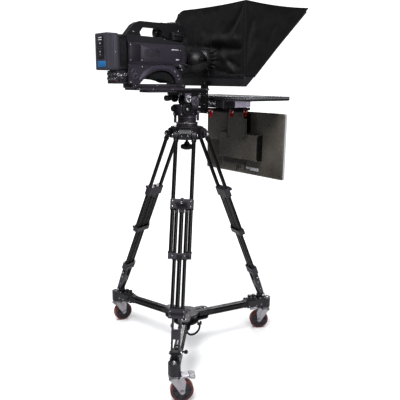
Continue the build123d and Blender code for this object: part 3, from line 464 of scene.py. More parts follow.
casting = coated("cast_grey", CAST, 0.42, relief=0.35, grain=0.0009, wear=0.5)
satin_black = coated("satin_black", SATIN, 0.38, relief=0.12)
gloss_black = coated("gloss_black", BLACK, 0.2, relief=0.03, wear=0.25, shine=0.35)
black_plastic = coated("black_plastic", rgb(0.007, 0.007, 0.008), 0.45, relief=0.3, grain=0.0005, wear=0.2)
violet_cast = coated("violet_cast", rgb(0.1, 0.085, 0.115), 0.36, metal=0.5, relief=0.2)
zinc = coated("zinc", ZINC, 0.42, metal=1.0, mottle=0.22, relief=0.1, wear=0.15)
red_anodised = coated("red_anodised", rgb(0.42, 0.008, 0.012), 0.28, metal=0.75, relief=0.05, wear=0.5)
silver = coated("silver", rgb(0.46, 0.46, 0.48), 0.25, metal=1.0, relief=0.08, wear=0.1)

dress(casting, "dolly_hub", "dolly_brackets", "tripod_bowl")
dress(gloss_black, "dolly_arms", "prompter_rods")
dress(black_plastic, "dolly_fasteners", "dolly_handle", "leg_feet", "bowl_clamp_knob", "tilt_lock_lever")
dress(black_plastic, "tilt_drag_dial", "pan_drag_dial", "plate_lock_knob", "viewfinder", "lens_barrel")
dress(black_plastic, "lens_servo_grip", "lens_zoom_ring", "camera_handle")
dress(satin_black, "prompter_upright", "rod_clamps")
dress(coated("head_paint", rgb(0.026, 0.022, 0.03), 0.34), "head_base", "head_body")
dress(violet_cast, "pan_lock_lever")
dress(coated("bracket_grey", rgb(0.075, 0.073, 0.067), 0.3, relief=0.05), "talent_bracket")
dress(red_anodised, "rod_lever_rear", "rod_lever_middle", "rod_lever_front")
for side in SIDES:
    dress(zinc, f"caster_fork_{side}", f"brake_pedal_{side}")
    dress(black_plastic, f"leg_lock_{side}")



def cradle_mask(shader):
    """The drums and rosettes on the near side are lighter than the rest."""
    depth = shader.along((0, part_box("tilt_cradle")[0].y, 0), (0, 1, 0))
    return shader.math("LESS_THAN", depth, 11 * MM)


dress(two_tone("cradle", cradle_mask, SATIN, rgb(0.1, 0.085, 0.11), 0.36, 0.3), "tilt_cradle")
plate_violet = coated("plate_violet", rgb(0.055, 0.047, 0.06), 0.38, metal=0.2)
dress(plate_violet, "sliding_plate", "camera_quick_plate", "prompter_base_plate")


def wheel_material(side):
    """Dark core with a red-brown cast tread outside it."""
    spin = joints[f"wheel_spin_{side}"]

    def mask(shader):
        wobble = shader.math("MULTIPLY", shader.noise(80.0), 0.6 * MM)
        reach = shader.math("ADD", shader.radius(spin["pos_m"], spin["axis"]), wobble)
        return shader.math("GREATER_THAN", reach, 42.2 * MM)

    dark, tread = rgb(0.03, 0.027, 0.034), rgb(0.115, 0.026, 0.018)
    return two_tone(f"wheel_{side}", mask, dark, tread, 0.42, 0.36, wear=0.1)


def leg_material(side, stage, tube_low, tube_high):
    """Glossy anodised tubes between satin castings, told apart by the distance along the leg."""
    foot = joints[f"leg_spread_{side}"]["pos_m"]
    run = joints[f"leg_extend_{side}"]["axis"]

    def mask(shader):
        reach = shader.along(foot, run)
        return shader.math("SUBTRACT", 1.0, shader.between(reach, tube_low * MM, tube_high * MM))

    return two_tone(f"leg_{stage}_{side}", mask, BLACK, COLLAR, 0.17, 0.42, wear=0.3)


for side in SIDES:
    dress(wheel_material(side), f"caster_wheel_{side}")
    dress(leg_material(side, "inner", 182, 600), f"leg_inner_{side}")
    dress(leg_material(side, "outer", 421, 941), f"leg_outer_{side}")


def monitor_reflection_mask(shader):
    """A painted reflection: the underside of the script monitor's front half is painted pale."""
    low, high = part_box("prompter_monitor_shell")
    under = shader.math("LESS_THAN", shader.along((0, 0, high.z), (0, 0, 1)), -20 * MM)
    ahead = shader.math("GREATER_THAN", shader.along((low.x, 0, 0), (1, 0, 0)), 82.5 * MM)
    return shader.math("MULTIPLY", under, ahead)


# The pale second colour is a painted reflection under the monitor's front half.
dress(
    two_tone("script_monitor", monitor_reflection_mask, rgb(0.02, 0.019, 0.022), rgb(0.6, 0.55, 0.68), 0.3, 0.35),
    "prompter_monitor_shell",
)


def talent_mask(shader):
    """The front edge of the shell is a light rim."""
    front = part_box("talent_monitor_shell")[1].x
    return shader.math("GREATER_THAN", shader.along((front, 0, 0), (1, 0, 0)), -13 * MM)


def talent_material():
    """Brown-grey satin back with a light rim; every flank that faces the near side is painted near-black as
    painted shade.
    """
    shader = Shader("talent_monitor")
    normal = shader.nodes.new("ShaderNodeNewGeometry").outputs["Normal"]
    # Painted shade: faces turned towards the near side are given a near-black colour.
    shaded_flank = shader.math("GREATER_THAN", shader.dot(normal, (0, -1, 0)), 0.8)
    sweep = shader.spread(shader.noise(3.2, 2.0), 0.35, 0.65)
    back = shader.mix(sweep, rgb(0.04, 0.036, 0.031), rgb(0.13, 0.118, 0.102))
    dark = shader.mix(shaded_flank, back, rgb(0.004, 0.004, 0.004))
    tint = shader.mix(talent_mask(shader), dark, rgb(0.5, 0.5, 0.52))
    return finish_coat(shader, tint, 0.24, relief=0.03, wear=0.2, shine=0.5).material


dress(talent_material(), "talent_monitor_shell")
screen_face = coated("screen_face", rgb(0.006, 0.006, 0.008), 0.08, relief=0.01, wear=0.0)
dress(screen_face, "prompter_monitor_screen", "talent_monitor_screen")
dress(coated("hood_frame", rgb(0.02, 0.02, 0.022), 0.3), "hood_frame")


def camera_shade_mask(shader):
    """Painted shade: the battery plate in the gap behind the body and the roof are painted nearly black."""
    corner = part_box("camera_body")[0]
    behind = shader.math("LESS_THAN", shader.along(corner, (1, 0, 0)), 52 * MM)
    roof = shader.math("GREATER_THAN", shader.along(corner, (0, 0, 1)), 163 * MM)
    above = shader.math("GREATER_THAN", shader.along(corner, (0, 0, 1)), 53 * MM)
    return shader.math("MAXIMUM", shader.math("MULTIPLY", behind, above), roof)


# Violet paint, with the near-black second colour as painted shade on the battery plate and the roof.
camera_paint_and_shade = two_tone("camera_paint_and_shade", camera_shade_mask, VIOLET, rgb(0.009, 0.008, 0.01), 0.4, 0.36, relief=0.3)
dress(camera_paint_and_shade, "camera_body")
dress(coated("shoulder_paint", VIOLET, 0.42, relief=0.3, grain=0.0007), "camera_shoulder_frame")
dress(coated("battery_shell", rgb(0.045, 0.042, 0.054), 0.45, relief=0.25), "battery")


def glass_material():
    """Coated beam-splitter glass: part mirror, part clear, with a faint dust film."""
    shader = Shader("beam_glass")
    film = shader.spread(shader.noise(30.0, 5.0), 0.35, 0.75, 0.02, 0.09)
    shader.principled(
        Base_Color=rgb(0.86, 0.9, 0.92),
        Roughness=film,
        IOR=1.5,
        Transmission_Weight=0.9,
        Specular_IOR_Level=0.9,
    )
    return shader.material


dress(glass_material(), "beam_splitter_glass")


def cloth_material():
    """Black nylon: fine weave bump, soft sheen and slight colour drift."""
    shader = Shader("hood_cloth")
    weave = 1500.0
    warp = shader.math("SINE", shader.math("MULTIPLY", shader.along((0, 0, 0), (0.6, 0.0, 0.8)), weave))
    weft = shader.math("SINE", shader.math("MULTIPLY", shader.along((0, 0, 0), (0.5, 0.85, -0.4)), weave))
    thread = shader.math("MULTIPLY", warp, weft)
    drift = shader.noise(9.0, 4.0)
    tint = shader.mix(drift, rgb(0.002, 0.0018, 0.0022), rgb(0.006, 0.005, 0.006))
    soft = shader.bump(thread, 0.2, 0.0004)
    crumple = shader.bump(shader.noise(38.0, 4.0), 0.3, 0.004, soft)
    shader.principled(
        Base_Color=tint,
        Roughness=shader.spread(shader.noise(60.0), 0.3, 0.7, 0.55, 0.75),
        Sheen_Weight=0.03,
        Specular_IOR_Level=0.25,
        Sheen_Roughness=0.45,
        Normal=crumple,
    )
    return shader.material


hood_cloth = cloth_material()
dress(hood_cloth, "hood_fabric")

# ======================================================================================
# Hood: one continuous sheet of nylon over the glass frame, gathered round the lens
# ======================================================================================
hood_low, hood_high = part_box("hood_fabric")
zoom_low, zoom_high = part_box("lens_zoom_ring")

REAR = hood_low.x
NEAR, FAR = hood_low.y, hood_high.y
HEM = hood_low.z
CREST = HEM + 316 * MM  # top of the rear panel
LIP = hood_high.z
LENS = Vector((REAR, (zoom_low.y + zoom_high.y) / 2, (zoom_low.z + zoom_high.z) / 2))
HEM_FRONT = REAR + 64 * MM  # foot of the slanted front edge
LIP_FRONT = hood_high.x
UP_STEPS, ACROSS_STEPS, DEPTH_STEPS = 40, 62, 52
PANEL_RINGS, SLEEVE_RINGS = 44, 9
SLEEVE_RADIUS = 51 * MM


def ease(value):
    """A smooth step from 0 to 1."""
    value = min(max(value, 0.0), 1.0)
    return value * value * (3 - 2 * value)


# Folds are (start, end, half width, depth), in millimetres on the panel. A positive depth stands proud.
REAR_FOLDS = (
    ((-250, 316), (-120, 165), 17, -13),
    ((-250, 316), (-176, 170), 15, 12),
    ((-250, 300), (-226, 120), 12, -9),
    ((-240, 128), (-20, 118), 20, -24),
    ((-236, 160), (40, 160), 24, 15),
    ((-40, 122), (160, 150), 18, -16),
    ((-205, 14), (-78, 106), 15, 13),
    ((-240, 40), (-120, 70), 14, -11),
    ((-150, 8), (-60, 40), 12, -9),
    ((250, 300), (110, 150), 22, -12),
    ((60, 316), (40, 170), 26, 8),
    ((-60, 316), (-70, 180), 20, -8),
    ((230, 60), (90, 90), 18, -12),
    ((200, 12), (70, 40), 14, 9),
)
SIDE_FOLDS = (
    ((4, 312), (44, 236), 12, -8),
    ((44, 246), (4, 92), 18, -15),
    ((10, 300), (86, 190), 22, 9),
    ((70, 170), (34, 40), 22, 9),
    ((150, 260), (96, 110), 30, 7),
    ((120, 300), (300, 250), 26, -6),
    ((210, 240), (120, 120), 22, -7),
    ((30, 20), (70, 90), 12, -6),
    ((330, 300), (240, 215), 20, 5),
)
TOP_FOLDS = (
    ((-240, 10), (-60, 220), 30, -9),
    ((-200, 30), (60, 120), 26, 7),
    ((230, 20), (80, 250), 34, -9),
    ((-120, 260), (140, 330), 30, -7),
)


def fold_height(spot, folds, seed):
    """How far the cloth stands out at a place on a panel, in metres."""
    x, y = spot
    total = 0.0
    for start, end, width, depth in folds:
        run_x, run_y = end[0] - start[0], end[1] - start[1]
        length = math.hypot(run_x, run_y)
        share = ((x - start[0]) * run_x + (y - start[1]) * run_y) / length**2
        aside = ((x - start[0]) * run_y - (y - start[1]) * run_x) / length
        aside += 5.0 * math.sin(share * 5.0 + seed + depth)
        swell = width * (0.55 + 0.6 * share)
        fade = ease(share * 5 + 0.1) * ease((1.12 - share) * 4)
        total += depth * fade * math.exp(-((aside / max(swell, 4)) ** 2))
    ripple = noise.noise(Vector((x * 0.012, y * 0.012, seed))) * 5.0
    ripple += noise.noise(Vector((x * 0.035, y * 0.03, seed + 7))) * 1.8
    return (total * 0.6 + ripple) * MM


def settle(point):
    """Where the whole hood sags between its corners and slumps at the far rear one."""
    share_y = (point.y - NEAR) / (FAR - NEAR)
    share_x = min(max((point.x - REAR) / (LIP_FRONT - REAR), 0), 1)
    height = ease((point.z - HEM) / (CREST - HEM))
    bow_y = 4 * share_y * (1 - share_y)
    bow_x = 4 * share_x * (1 - share_x)
    top_only = ease((point.z - CREST + 30 * MM) / (30 * MM))
    point = point.copy()
    point.z -= top_only * (7 * bow_x + 5 * bow_y) * MM
    point.x += bow_y * height * 6 * MM * (1 - share_x)
    from_corner = (point - Vector((REAR, FAR, CREST))).length
    slump = math.exp(-((from_corner / (42 * MM)) ** 2))
    point.y -= slump * 24 * MM
    point.z -= slump * 16 * MM
    point.x += slump * 10 * MM
    return point


def front_edge(height_share):
    """X of the slanted front edge at a share of the hood's height."""
    return HEM_FRONT + (LIP_FRONT - HEM_FRONT) * height_share


def rear_border():
    """Shares (across, up) round the border of the rear panel, back to where it starts."""
    border = [(0.0, step / UP_STEPS) for step in range(UP_STEPS)]
    border += [(step / ACROSS_STEPS, 1.0) for step in range(ACROSS_STEPS)]
    border += [(1.0, 1 - step / UP_STEPS) for step in range(UP_STEPS)]
    border += [(1 - step / ACROSS_STEPS, 0.0) for step in range(ACROSS_STEPS)]
    return border + border[:1]


def rear_rows():
    """Rings from the sleeve's mouth out to the border of the rear panel."""
    rows = []
    for ring_number in range(-SLEEVE_RINGS, PANEL_RINGS + 1):
        share = max(ring_number, 0) / PANEL_RINGS
        row = []
        for across, up in rear_border():
            edge = Vector((REAR, NEAR + (FAR - NEAR) * across, HEM + (CREST - HEM) * up))
            out = edge - LENS
            angle = math.atan2(out.z, out.y)
            direction = Vector((0, math.cos(angle), math.sin(angle)))
            gather = math.sin(angle * 19) * 2.2 + math.sin(angle * 31 + 1.0) * 1.1
            if ring_number < 0:
                back = -ring_number
                mouth = SLEEVE_RADIUS - back * 0.25 * MM + gather * MM * (1 - back / 12)
                row.append(LENS + direction * mouth + Vector((-back * 3.4 * MM, 0, 0)))
                continue
            reach = SLEEVE_RADIUS + (out.length - SLEEVE_RADIUS) * share**1.15
            spot = LENS + direction * (reach + gather * MM * (1 - share) ** 3)
            place = ((spot.y - LENS.y) / MM, (spot.z - HEM) / MM)
            lift = fold_height(place, REAR_FOLDS, 3.0) * ease((1 - share) * 7)
            funnel = 16 * MM * math.exp(-(((reach - SLEEVE_RADIUS) / (30 * MM)) ** 2) * 2)
            pleat = gather * 1.3 * MM * math.exp(-share * 7)
            spot.x -= lift * ease(share * 6 + 0.15) + funnel * 0.4 + pleat
            row.append(settle(spot))
        rows.append(row)
    return rows


def side_rows(side, edge_y):
    """A side panel, from the rear edge to the slanted front one."""
    rows = []
    for level in range(UP_STEPS + 1):
        up = level / UP_STEPS
        run = front_edge(up) - REAR
        row = []
        for column in range(DEPTH_STEPS + 1):
            share = column / DEPTH_STEPS
            spot = Vector((REAR + run * share, edge_y, HEM + (CREST - HEM) * up))
            spot.z += (LIP - CREST) * up * share
            hold = ease(share * run / (26 * MM)) * ease((1 - share) * run / (20 * MM))
            hold *= ease((1 - up) * 9) * ease(up * 9)
            place = ((spot.x - REAR) / MM, (spot.z - HEM) / MM)
            lift = fold_height(place, SIDE_FOLDS, 11.0 + side) * hold
            from_front = (1 - share) * run / MM
            seam = -1.3 * math.exp(-(((from_front - 34) / 3.0) ** 2)) * MM * ease(up * 6)
            spot.y += side * (lift + seam)
            row.append(settle(spot))
        rows.append(row)
    return rows


def top_rows():
    """The top panel, from the rear edge to the front lip."""
    rows = []
    for column in range(DEPTH_STEPS + 1):
        share = column / DEPTH_STEPS
        row = []
        for step in range(ACROSS_STEPS + 1):
            across = step / ACROSS_STEPS
            spot = Vector((REAR + (LIP_FRONT - REAR) * share, NEAR + (FAR - NEAR) * across, CREST))
            spot.z += (LIP - CREST) * share
            hold = ease(share * 8) * ease((1 - share) * 9) * ease(across * 8) * ease((1 - across) * 8)
            place = ((spot.y - LENS.y) / MM, (spot.x - REAR) / MM)
            spot.z += fold_height(place, TOP_FOLDS, 23.0) * hold * 0.7
            row.append(settle(spot))
        rows.append(row)
    return rows


def hood_sheet():
    """The panels joined at their seams into one sheet, in place of the CAD hood."""
    cloth = bmesh.new()
    for rows in (rear_rows(), side_rows(-1, NEAR), side_rows(1, FAR), top_rows()):
        verts = [[cloth.verts.new(point) for point in row] for row in rows]
        for below, above in zip(verts, verts[1:]):
            for column in range(len(below) - 1):
                cloth.faces.new([below[column], below[column + 1], above[column + 1], above[column]])
    bmesh.ops.remove_doubles(cloth, verts=cloth.verts, dist=0.0004)
    bmesh.ops.recalc_face_normals(cloth, faces=cloth.faces)
    data = bpy.data.meshes.new("hood_cloth_sheet")
    cloth.to_mesh(data)
    cloth.free()
    sheet = bpy.data.objects.new("hood_cloth_sheet", data)
    scene.collection.objects.link(sheet)
    data.materials.append(hood_cloth)
    data.shade_smooth()
    data.set_sharp_from_angle(angle=math.radians(60))
    thickness = sheet.modifiers.new("thickness", "SOLIDIFY")
    thickness.thickness = 1.2 * MM
    thickness.offset = -1
    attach(sheet, "camera_plate")
    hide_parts("hood_fabric")


def hood_trim():
    """Edge binding along the seams and the open front, and the tie cord round the sleeve."""
    edge = Shape((0, 0, 0))

    def line(start, end, steps=14):
        return [settle(start.lerp(end, step / steps)) / MM for step in range(steps + 1)]

    for edge_y in (NEAR, FAR):
        low_rear, high_rear = Vector((REAR, edge_y, HEM)), Vector((REAR, edge_y, CREST))
        high_front, low_front = Vector((LIP_FRONT, edge_y, LIP)), Vector((HEM_FRONT, edge_y, HEM))
        edge.cord(line(low_rear, high_rear), 1.5, 8, 2)
        edge.cord(line(high_rear, high_front), 1.5, 8, 2)
        edge.cord(line(high_front, low_front), 2.6, 8, 2)
    edge.cord(line(Vector((REAR, NEAR, CREST)), Vector((REAR, FAR, CREST))), 1.5, 8, 2)
    edge.cord(line(Vector((LIP_FRONT, NEAR, LIP)), Vector((LIP_FRONT, FAR, LIP))), 2.6, 8, 2)
    edge.piece("hood_binding", binding_tape, "camera_plate", "hood_cloth")
    tie = Shape(LENS)
    tie.hoop((-27, 0, 0), (1, 0, 0), 50.5, 2.2)
    tie.cord([(-27, -38, -34), (-30, -48, -46), (-28, -50, -66), (-33, -54, -84)], 1.6)
    toggle = [(0, 0), (0, 4), (2, 5.5), (13, 5.5), (15, 4), (15, 0)]
    tie.lathe((-30.5, -50, -58), (0, -0.1, -1), toggle, 20)
    tie.piece("hood_tie_cord", binding_tape, "camera_plate", "hood_cloth")


def hem_strip():
    """The doubled hem over the top of the satin band, with its row of press studs."""
    strip = Shape((0, 0, 0))
    low, high = HEM / MM - 3, HEM / MM + 13
    strip.block((REAR / MM - 2.4, NEAR / MM - 1, low), (REAR / MM - 0.9, FAR / MM + 1, high), 0.5)
    strip.piece("hood_hem", binding_tape, "camera_plate", "hood_cloth")
    studs = Shape((0, 0, 0))
    stud_profile = [(0, 0), (0, 5), (1.2, 5), (2, 3.4), (2.2, 0)]
    for share in (0.06, 0.28, 0.72, 0.94):
        y = (NEAR + (FAR - NEAR) * share) / MM
        studs.lathe((REAR / MM - 2.2, y, low + 8), (-1, 0, 0), stud_profile, 24)
    studs.piece("hood_press_studs", gloss_black, "camera_plate", "black_metal")


binding_tape = coated("binding_tape", rgb(0.006, 0.0055, 0.0065), 0.6, relief=0.5, grain=0.0009, wear=0.0)
hood_sheet()
hood_trim()
hem_strip()


# ======================================================================================
# Camera details
# ======================================================================================
camera = drawn_from("camera_body", -402, -56, 1314)
LENS_HEIGHT = 1424  # height of the lens axis in the drawing
lens_origin = Vector((camera.x, LENS.y, LENS.z - LENS_HEIGHT * MM))
panel_paint = coated("panel_paint", rgb(0.032, 0.028, 0.04), 0.36, relief=0.25, grain=0.0006, wear=0.25)
dark_paint = coated("dark_paint", rgb(0.008, 0.007, 0.009), 0.34, relief=0.25, grain=0.0006)
rubber = coated("lens_rubber", rgb(0.009, 0.009, 0.01), 0.55, relief=0.5, grain=0.0008, wear=0.0)
pale_print = coated("pale_print", rgb(0.4, 0.4, 0.42), 0.45, relief=0.05, wear=0.0)
blue_label = coated("blue_label", rgb(0.02, 0.14, 0.33), 0.35, relief=0.05, wear=0.0)
foam = coated("mic_foam", rgb(0.01, 0.01, 0.011), 0.9, relief=1.0, grain=0.0022, wear=0.0)
red_dot = coated("red_dot", rgb(0.5, 0.01, 0.008), 0.3, relief=0.02, wear=0.0)


def camera_flanks():
    """Raised panels, cooling ribs and badges on both flanks of the body."""
    front, rear, ribs, badges = Shape(camera), Shape(camera), Shape(camera), Shape(camera)
    front_outline = [(-292, 1404), (-104, 1404), (-84, 1410), (-78, 1424), (-80, 1452)]
    front_outline += [(-88, 1462), (-110, 1468), (-286, 1471), (-292, 1466)]
    rear_outline = [(-347, 1404), (-297, 1404), (-297, 1471), (-347, 1472)]
    for side, rear_face in ((-1, -58.6), (1, 57.8)):
        front.plate(front_outline, *sorted((55 * side, 58.6 * side)), 1.2)
        rear.plate(rear_outline, *sorted((55 * side, rear_face)), 1.0)
        for step in range(9):
            z = 1427 + step * 3.2
            ribs.rod((-276, 58.4 * side, z), (-196, 58.4 * side, z), 0.7, 0.2, 8)
        for step in range(7):
            x = -341 + step * 6.2
            ribs.rod((x, 57.6 * side, 1412), (x, 57.6 * side, 1462), 0.7, 0.2, 8)
        low, high = sorted((58.2 * side, 59.2 * side))
        badges.block((-136, low, 1455), (-98, high, 1460), 0.3)
        badges.block((-112, low, 1414), (-94, high, 1420), 0.3)
    front.piece("camera_flank_panels", panel_paint, "camera_plate", "camera_plastic")
    rear_paint = coated("rear_paint", rgb(0.018, 0.016, 0.022), 0.36, relief=0.25)
    rear.piece("camera_rear_covers", rear_paint, "camera_plate", "camera_plastic")
    ribs.piece("camera_ribs", dark_paint, "camera_plate", "camera_plastic")
    badges.piece("camera_blank_badges", pale_print, "camera_plate", "camera_plastic")


def camera_shoulder():
    """Pad under the arch, round vents on the rear block and the side screws."""
    pad = Shape(camera)
    over = [(-252, 1347), (-222, 1361), (-190, 1368), (-160, 1366), (-136, 1358), (-120, 1342), (-108, 1321)]
    under = [(-122, 1318), (-134, 1321), (-150, 1327), (-176, 1332), (-206, 1334), (-232, 1336), (-248, 1340)]
    pad.plate(over + under, -47, 47, 4)
    pad.piece("shoulder_pad", foam, "camera_plate", "lens_rubber")
    vents, screws = Shape(camera), Shape(camera)
    vent_profile = [(0, 0), (0, 21), (3, 21), (4.2, 19.5), (4.2, 17.5), (1.6, 16.5), (1.6, 0)]
    arch = [(-296, 1318), (-262, 1348), (-226, 1370), (-190, 1379), (-150, 1376), (-122, 1362), (-98, 1326)]
    arch += [(-84, 1330), (-104, 1376), (-130, 1392), (-186, 1393), (-238, 1386), (-276, 1366), (-300, 1336)]
    for side in (-1, 1):
        face = 52 * side
        vents.lathe((-322, face - side, 1352), (0, side, 0), vent_profile, 48)
        for step in range(9):
            inner = around(-322, face + side, 1352, 5, step * 40)
            outer = around(-322, face + side, 1352, 16, step * 40 + math.degrees(0.5))
            vents.rod(inner, outer, 1.3, 0.3, 10)
        vents.lathe((-322, face, 1352), (0, side, 0), cap_profile(6, 4, 0.6), 24)
        vents.plate(arch, *sorted((face - side, face + 2 * side)), 0.8)
        for x, z in ((-112, 1366), (-92, 1336), (-286, 1384), (-342, 1322)):
            screws.screw((x, face + 1.6 * side, z), (0, side, 0), 3.2, 2.2)
        for x, z in ((-288, 1409), (-86, 1456), (-342, 1467), (-342, 1409)):
            screws.screw((x, 58 * side, z), (0, side, 0), 2.4, 1.6)
    arch_paint = coated("arch_paint", rgb(0.055, 0.046, 0.066), 0.3, metal=0.2, wear=0.4)
    vents.piece("shoulder_side_plates", arch_paint, "camera_plate", "camera_plastic")
    screws.piece("camera_screws", silver, "camera_plate", "zinc_steel")
    hub = Shape(camera)
    for side in (-1, 1):
        for x, z, radius in ((-84, 1391, 6), (-98, 1350, 4), (-76, 1376, 4.5)):
            hub.lathe((x, 50 * side, z), (0, side, 0), cap_profile(radius, 8), 24, 12, 0.6)
    hub.piece("camera_side_knobs", zinc, "camera_plate", "zinc_steel")


def camera_rear():
    """Sockets and indicator lamps on the connector box, and the cables between box, body and lens."""
    rings, cores, dots = Shape(camera), Shape(camera), Shape(camera)
    for row, z in enumerate((1353, 1334)):
        for column in range(3):
            y = 17 - column * 23
            rings.lathe((-401, y, z), (-1, 0, 0), socket_profile(7, 2, 5.2, 7, 3.6, 1), 28)
            cores.rod((-400, y, z), (-406, y, z), 1.6, 0.4, 14)
            if (row + column) % 2:
                dots.rod((-401, y - 10.5, z - 7), (-403.2, y - 10.5, z - 7), 1.8, 0.4, 14)
    for x, z in ((-392, 1350), (-375, 1343), (-360, 1350)):
        rings.lathe((x, -41.5, z), (0, -1, 0), socket_profile(7.5, 1.6, 6, 5, 4.6, 0.8), 28)
        cores.rod((x, -41, z), (x, -45, z), 2.2, 0.4, 14)
        cores.block((x - 6, -43, 1322), (x + 6, -41, 1332), 0.6)
    rings.piece("socket_rings", silver, "camera_plate", "zinc_steel")
    cores.piece("socket_cores", dark_paint, "camera_plate", "black_plastic")
    dots.piece("socket_lamps", red_dot, "camera_plate", "red_metal")
    cables = Shape(camera)
    to_body = [(-375, -46, 1343), (-372, -58, 1342), (-362, -62, 1352), (-350, -58, 1378), (-348, -52, 1392)]
    to_handle = [(-72, 55, 1404), (-70, 58.4, 1440), (-68, 53, 1480), (-70, 40, 1512)]
    to_servo = [(-72, -52, 1402), (-60, -70, 1396), (-40, -74, 1392), (-18, -66, 1396), (-8, -58, 1400)]
    to_lens = [(-74, -46, 1470), (-60, -60, 1462), (-46, -62, 1446), (-30, -54, 1438)]
    for points, radius in ((to_body, 2.6), (to_handle, 2.2), (to_servo, 2.6), (to_lens, 2.0)):
        cables.cord(points, radius)
    cables.piece("camera_cables", rubber, "camera_plate", "lens_rubber")
    back = Shape(camera)
    for y in (-38, 38):
        back.block((-396, y - 5, 1384), (-390, y + 5, 1498), 1.5)
    back.block((-393, -50, 1372), (-352, -45.5, 1378), 1.0)
    back.block((-390, -49, 1496), (-356, -45, 1503), 1.0)
    for step in range(8):
        back.block((-386 + step * 4, -47.5, 1386), (-384 + step * 4, -45.6, 1490), 0.4)
    back.piece("battery_mount_rails", dark_paint, "camera_plate", "black_plastic")


def battery_details():
    """Label recess, gauge lamps, seams and release button on the battery."""
    origin = drawn_from("battery", -444, -49, 1367)
    strip = Shape(origin)
    strip.plate(rounded_outline(-21, 31, 1410, 1501, 4), -445.2, -443.4, 0.5, "x")
    strip.piece("battery_dark_panel", dark_paint, "battery_pack", "black_plastic")
    patch = Shape(origin)
    patch.plate(rounded_outline(-34, 30, 1377, 1402, 7), -445.0, -443.4, 0.5, "x")
    patch.piece("battery_blue_patch", blue_label, "battery_pack", "camera_plastic")
    marks = Shape(origin)
    for z, half in ((1492, 13), (1484, 13), (1470, 5), (1438, 4)):
        marks.block((-446.0, 5 - half, z - 2.4), (-444.8, 5 + half, z + 2.4), 0.3)
    marks.piece("battery_gauge", pale_print, "battery_pack", "camera_plastic")
    seams = Shape(origin)
    for z in (1478, 1457, 1449, 1422):
        seams.block((-445.8, -14, z - 0.8), (-444.8, 24, z + 0.8), 0.2)
    for low, high in ((-49.7, -48.6), (46.6, 47.7)):
        seams.block((-421.4, low, 1370), (-419.4, high, 1507), 0.3)
    for low, high in ((-50, -48.6), (46.6, 48)):
        seams.plate(rounded_outline(-415, -399, 1376, 1502, 3), low, high, 0.5)
    side_paint = coated("battery_side", rgb(0.06, 0.056, 0.072), 0.42)
    seams.piece("battery_seams", side_paint, "battery_pack", "camera_plastic")
    lamps = Shape(origin)
    lamps.rod((-408, -49.5, 1437), (-408, -51, 1437), 2.0, 0.4, 14)
    lamps.rod((-444, 8, 1427), (-446.2, 8, 1427), 2.2, 0.4, 14)
    lamps.piece("battery_lamps", pale_print, "battery_pack", "camera_plastic")


def camera_top():
    """Handle grip, accessory shoe, control box, and the microphone in its holder."""
    grip = Shape(camera)
    for step in range(20):
        x = -258 + step * 8
        grip.block((x, -16.2, 1549), (x + 4, 16.2, 1553), 0.6)
    grip.block((-262, -11, 1564), (-116, 11, 1569), 1.6)
    grip.piece("handle_grip", rubber, "camera_plate", "lens_rubber")
    shoe = Shape(camera)
    shoe.block((-104, -10, 1568), (-74, 10, 1573), 0.8)
    for low in (-13, 7):
        shoe.block((-104, low, 1572), (-74, low + 6, 1577), 0.6)
    for x, z in ((-300, 1524), (-66, 1540), (-40, 1524), (-60, 1510)):
        for side in (-1, 1):
            shoe.screw((x, 15 * side, z), (0, side, 0), 3.4, 2.0)
    shoe.piece("handle_shoe", silver, "camera_plate", "zinc_steel")
    side_box = Shape(camera)
    side_box.block((-112, -36, 1496), (-52, -14, 1534), 4, 3)
    dial_profile = [(0, 0), (0, 4.6), (5, 4.2), (6, 3.4), (6, 0)]
    for x in (-102, -88, -74):
        side_box.lathe((x, -36, 1522), (0, -1, 0), dial_profile, 20, 10, 0.5)
    side_box.block((-106, -38, 1500), (-60, -35, 1510), 1)
    side_box.block((-146, 16, 1512), (-62, 40, 1538), 5, 3)
    knob_profile = [(0, 0), (0, 9), (4, 12), (9, 12), (11, 10), (11, 0)]
    side_box.lathe((-148, 28, 1524), (-1, 0, 0), knob_profile, 28, 14, 0.6)
    side_box.piece("handle_control_box", dark_paint, "camera_plate", "black_plastic")
    mic = Shape(camera)
    mic_profile = [(0, 0), (0, 6), (3, 12), (10, 14), (100, 14), (112, 11), (116, 5), (116, 0)]
    mic.lathe((-130, 44, 1560), (1, 0, 0), mic_profile, 36)
    mic.piece("microphone_foam", foam, "camera_plate", "lens_rubber")
    holder = Shape(camera)
    for x in (-112, -52):
        holder.hoop((x, 44, 1560), (1, 0, 0), 16.2, 2.6, 36, 8)
    for x in (-112, -52):
        holder.block((x - 4, 15, 1549), (x + 4, 31, 1557), 1.5)
    holder.piece("microphone_holder", gloss_black, "camera_plate", "black_plastic")


def viewfinder_details():
    """Soft eyecup, two ribbed collars and the lid on the viewfinder tube."""
    origin = drawn_from("viewfinder", -92, 16, 1512)
    eyecup, collars = Shape(origin), Shape(origin)
    eyecup_profile = [(-3, 17), (-3, 24), (4, 25.4), (13, 27), (22, 28)]
    eyecup_profile += [(23, 25.6), (14, 23), (6, 19), (-2, 16), (-3, 17)]
    eyecup.lathe((-90, 88, 1538), (-1, 0, 0), eyecup_profile, 44)
    eyecup.piece("viewfinder_eyecup", rubber, "viewfinder_tube", "lens_rubber")
    collars.lathe((-62, 88, 1538), (1, 0, 0), cap_profile(23, 9), 44, 22, 0.7)
    collars.lathe((22, 88, 1538), (1, 0, 0), cap_profile(22.6, 7), 44, 22, 0.7)
    collars.block((-40, 76, 1556), (10, 100, 1562), 1.5)
    collars.piece("viewfinder_rings", dark_paint, "viewfinder_tube", "black_plastic")


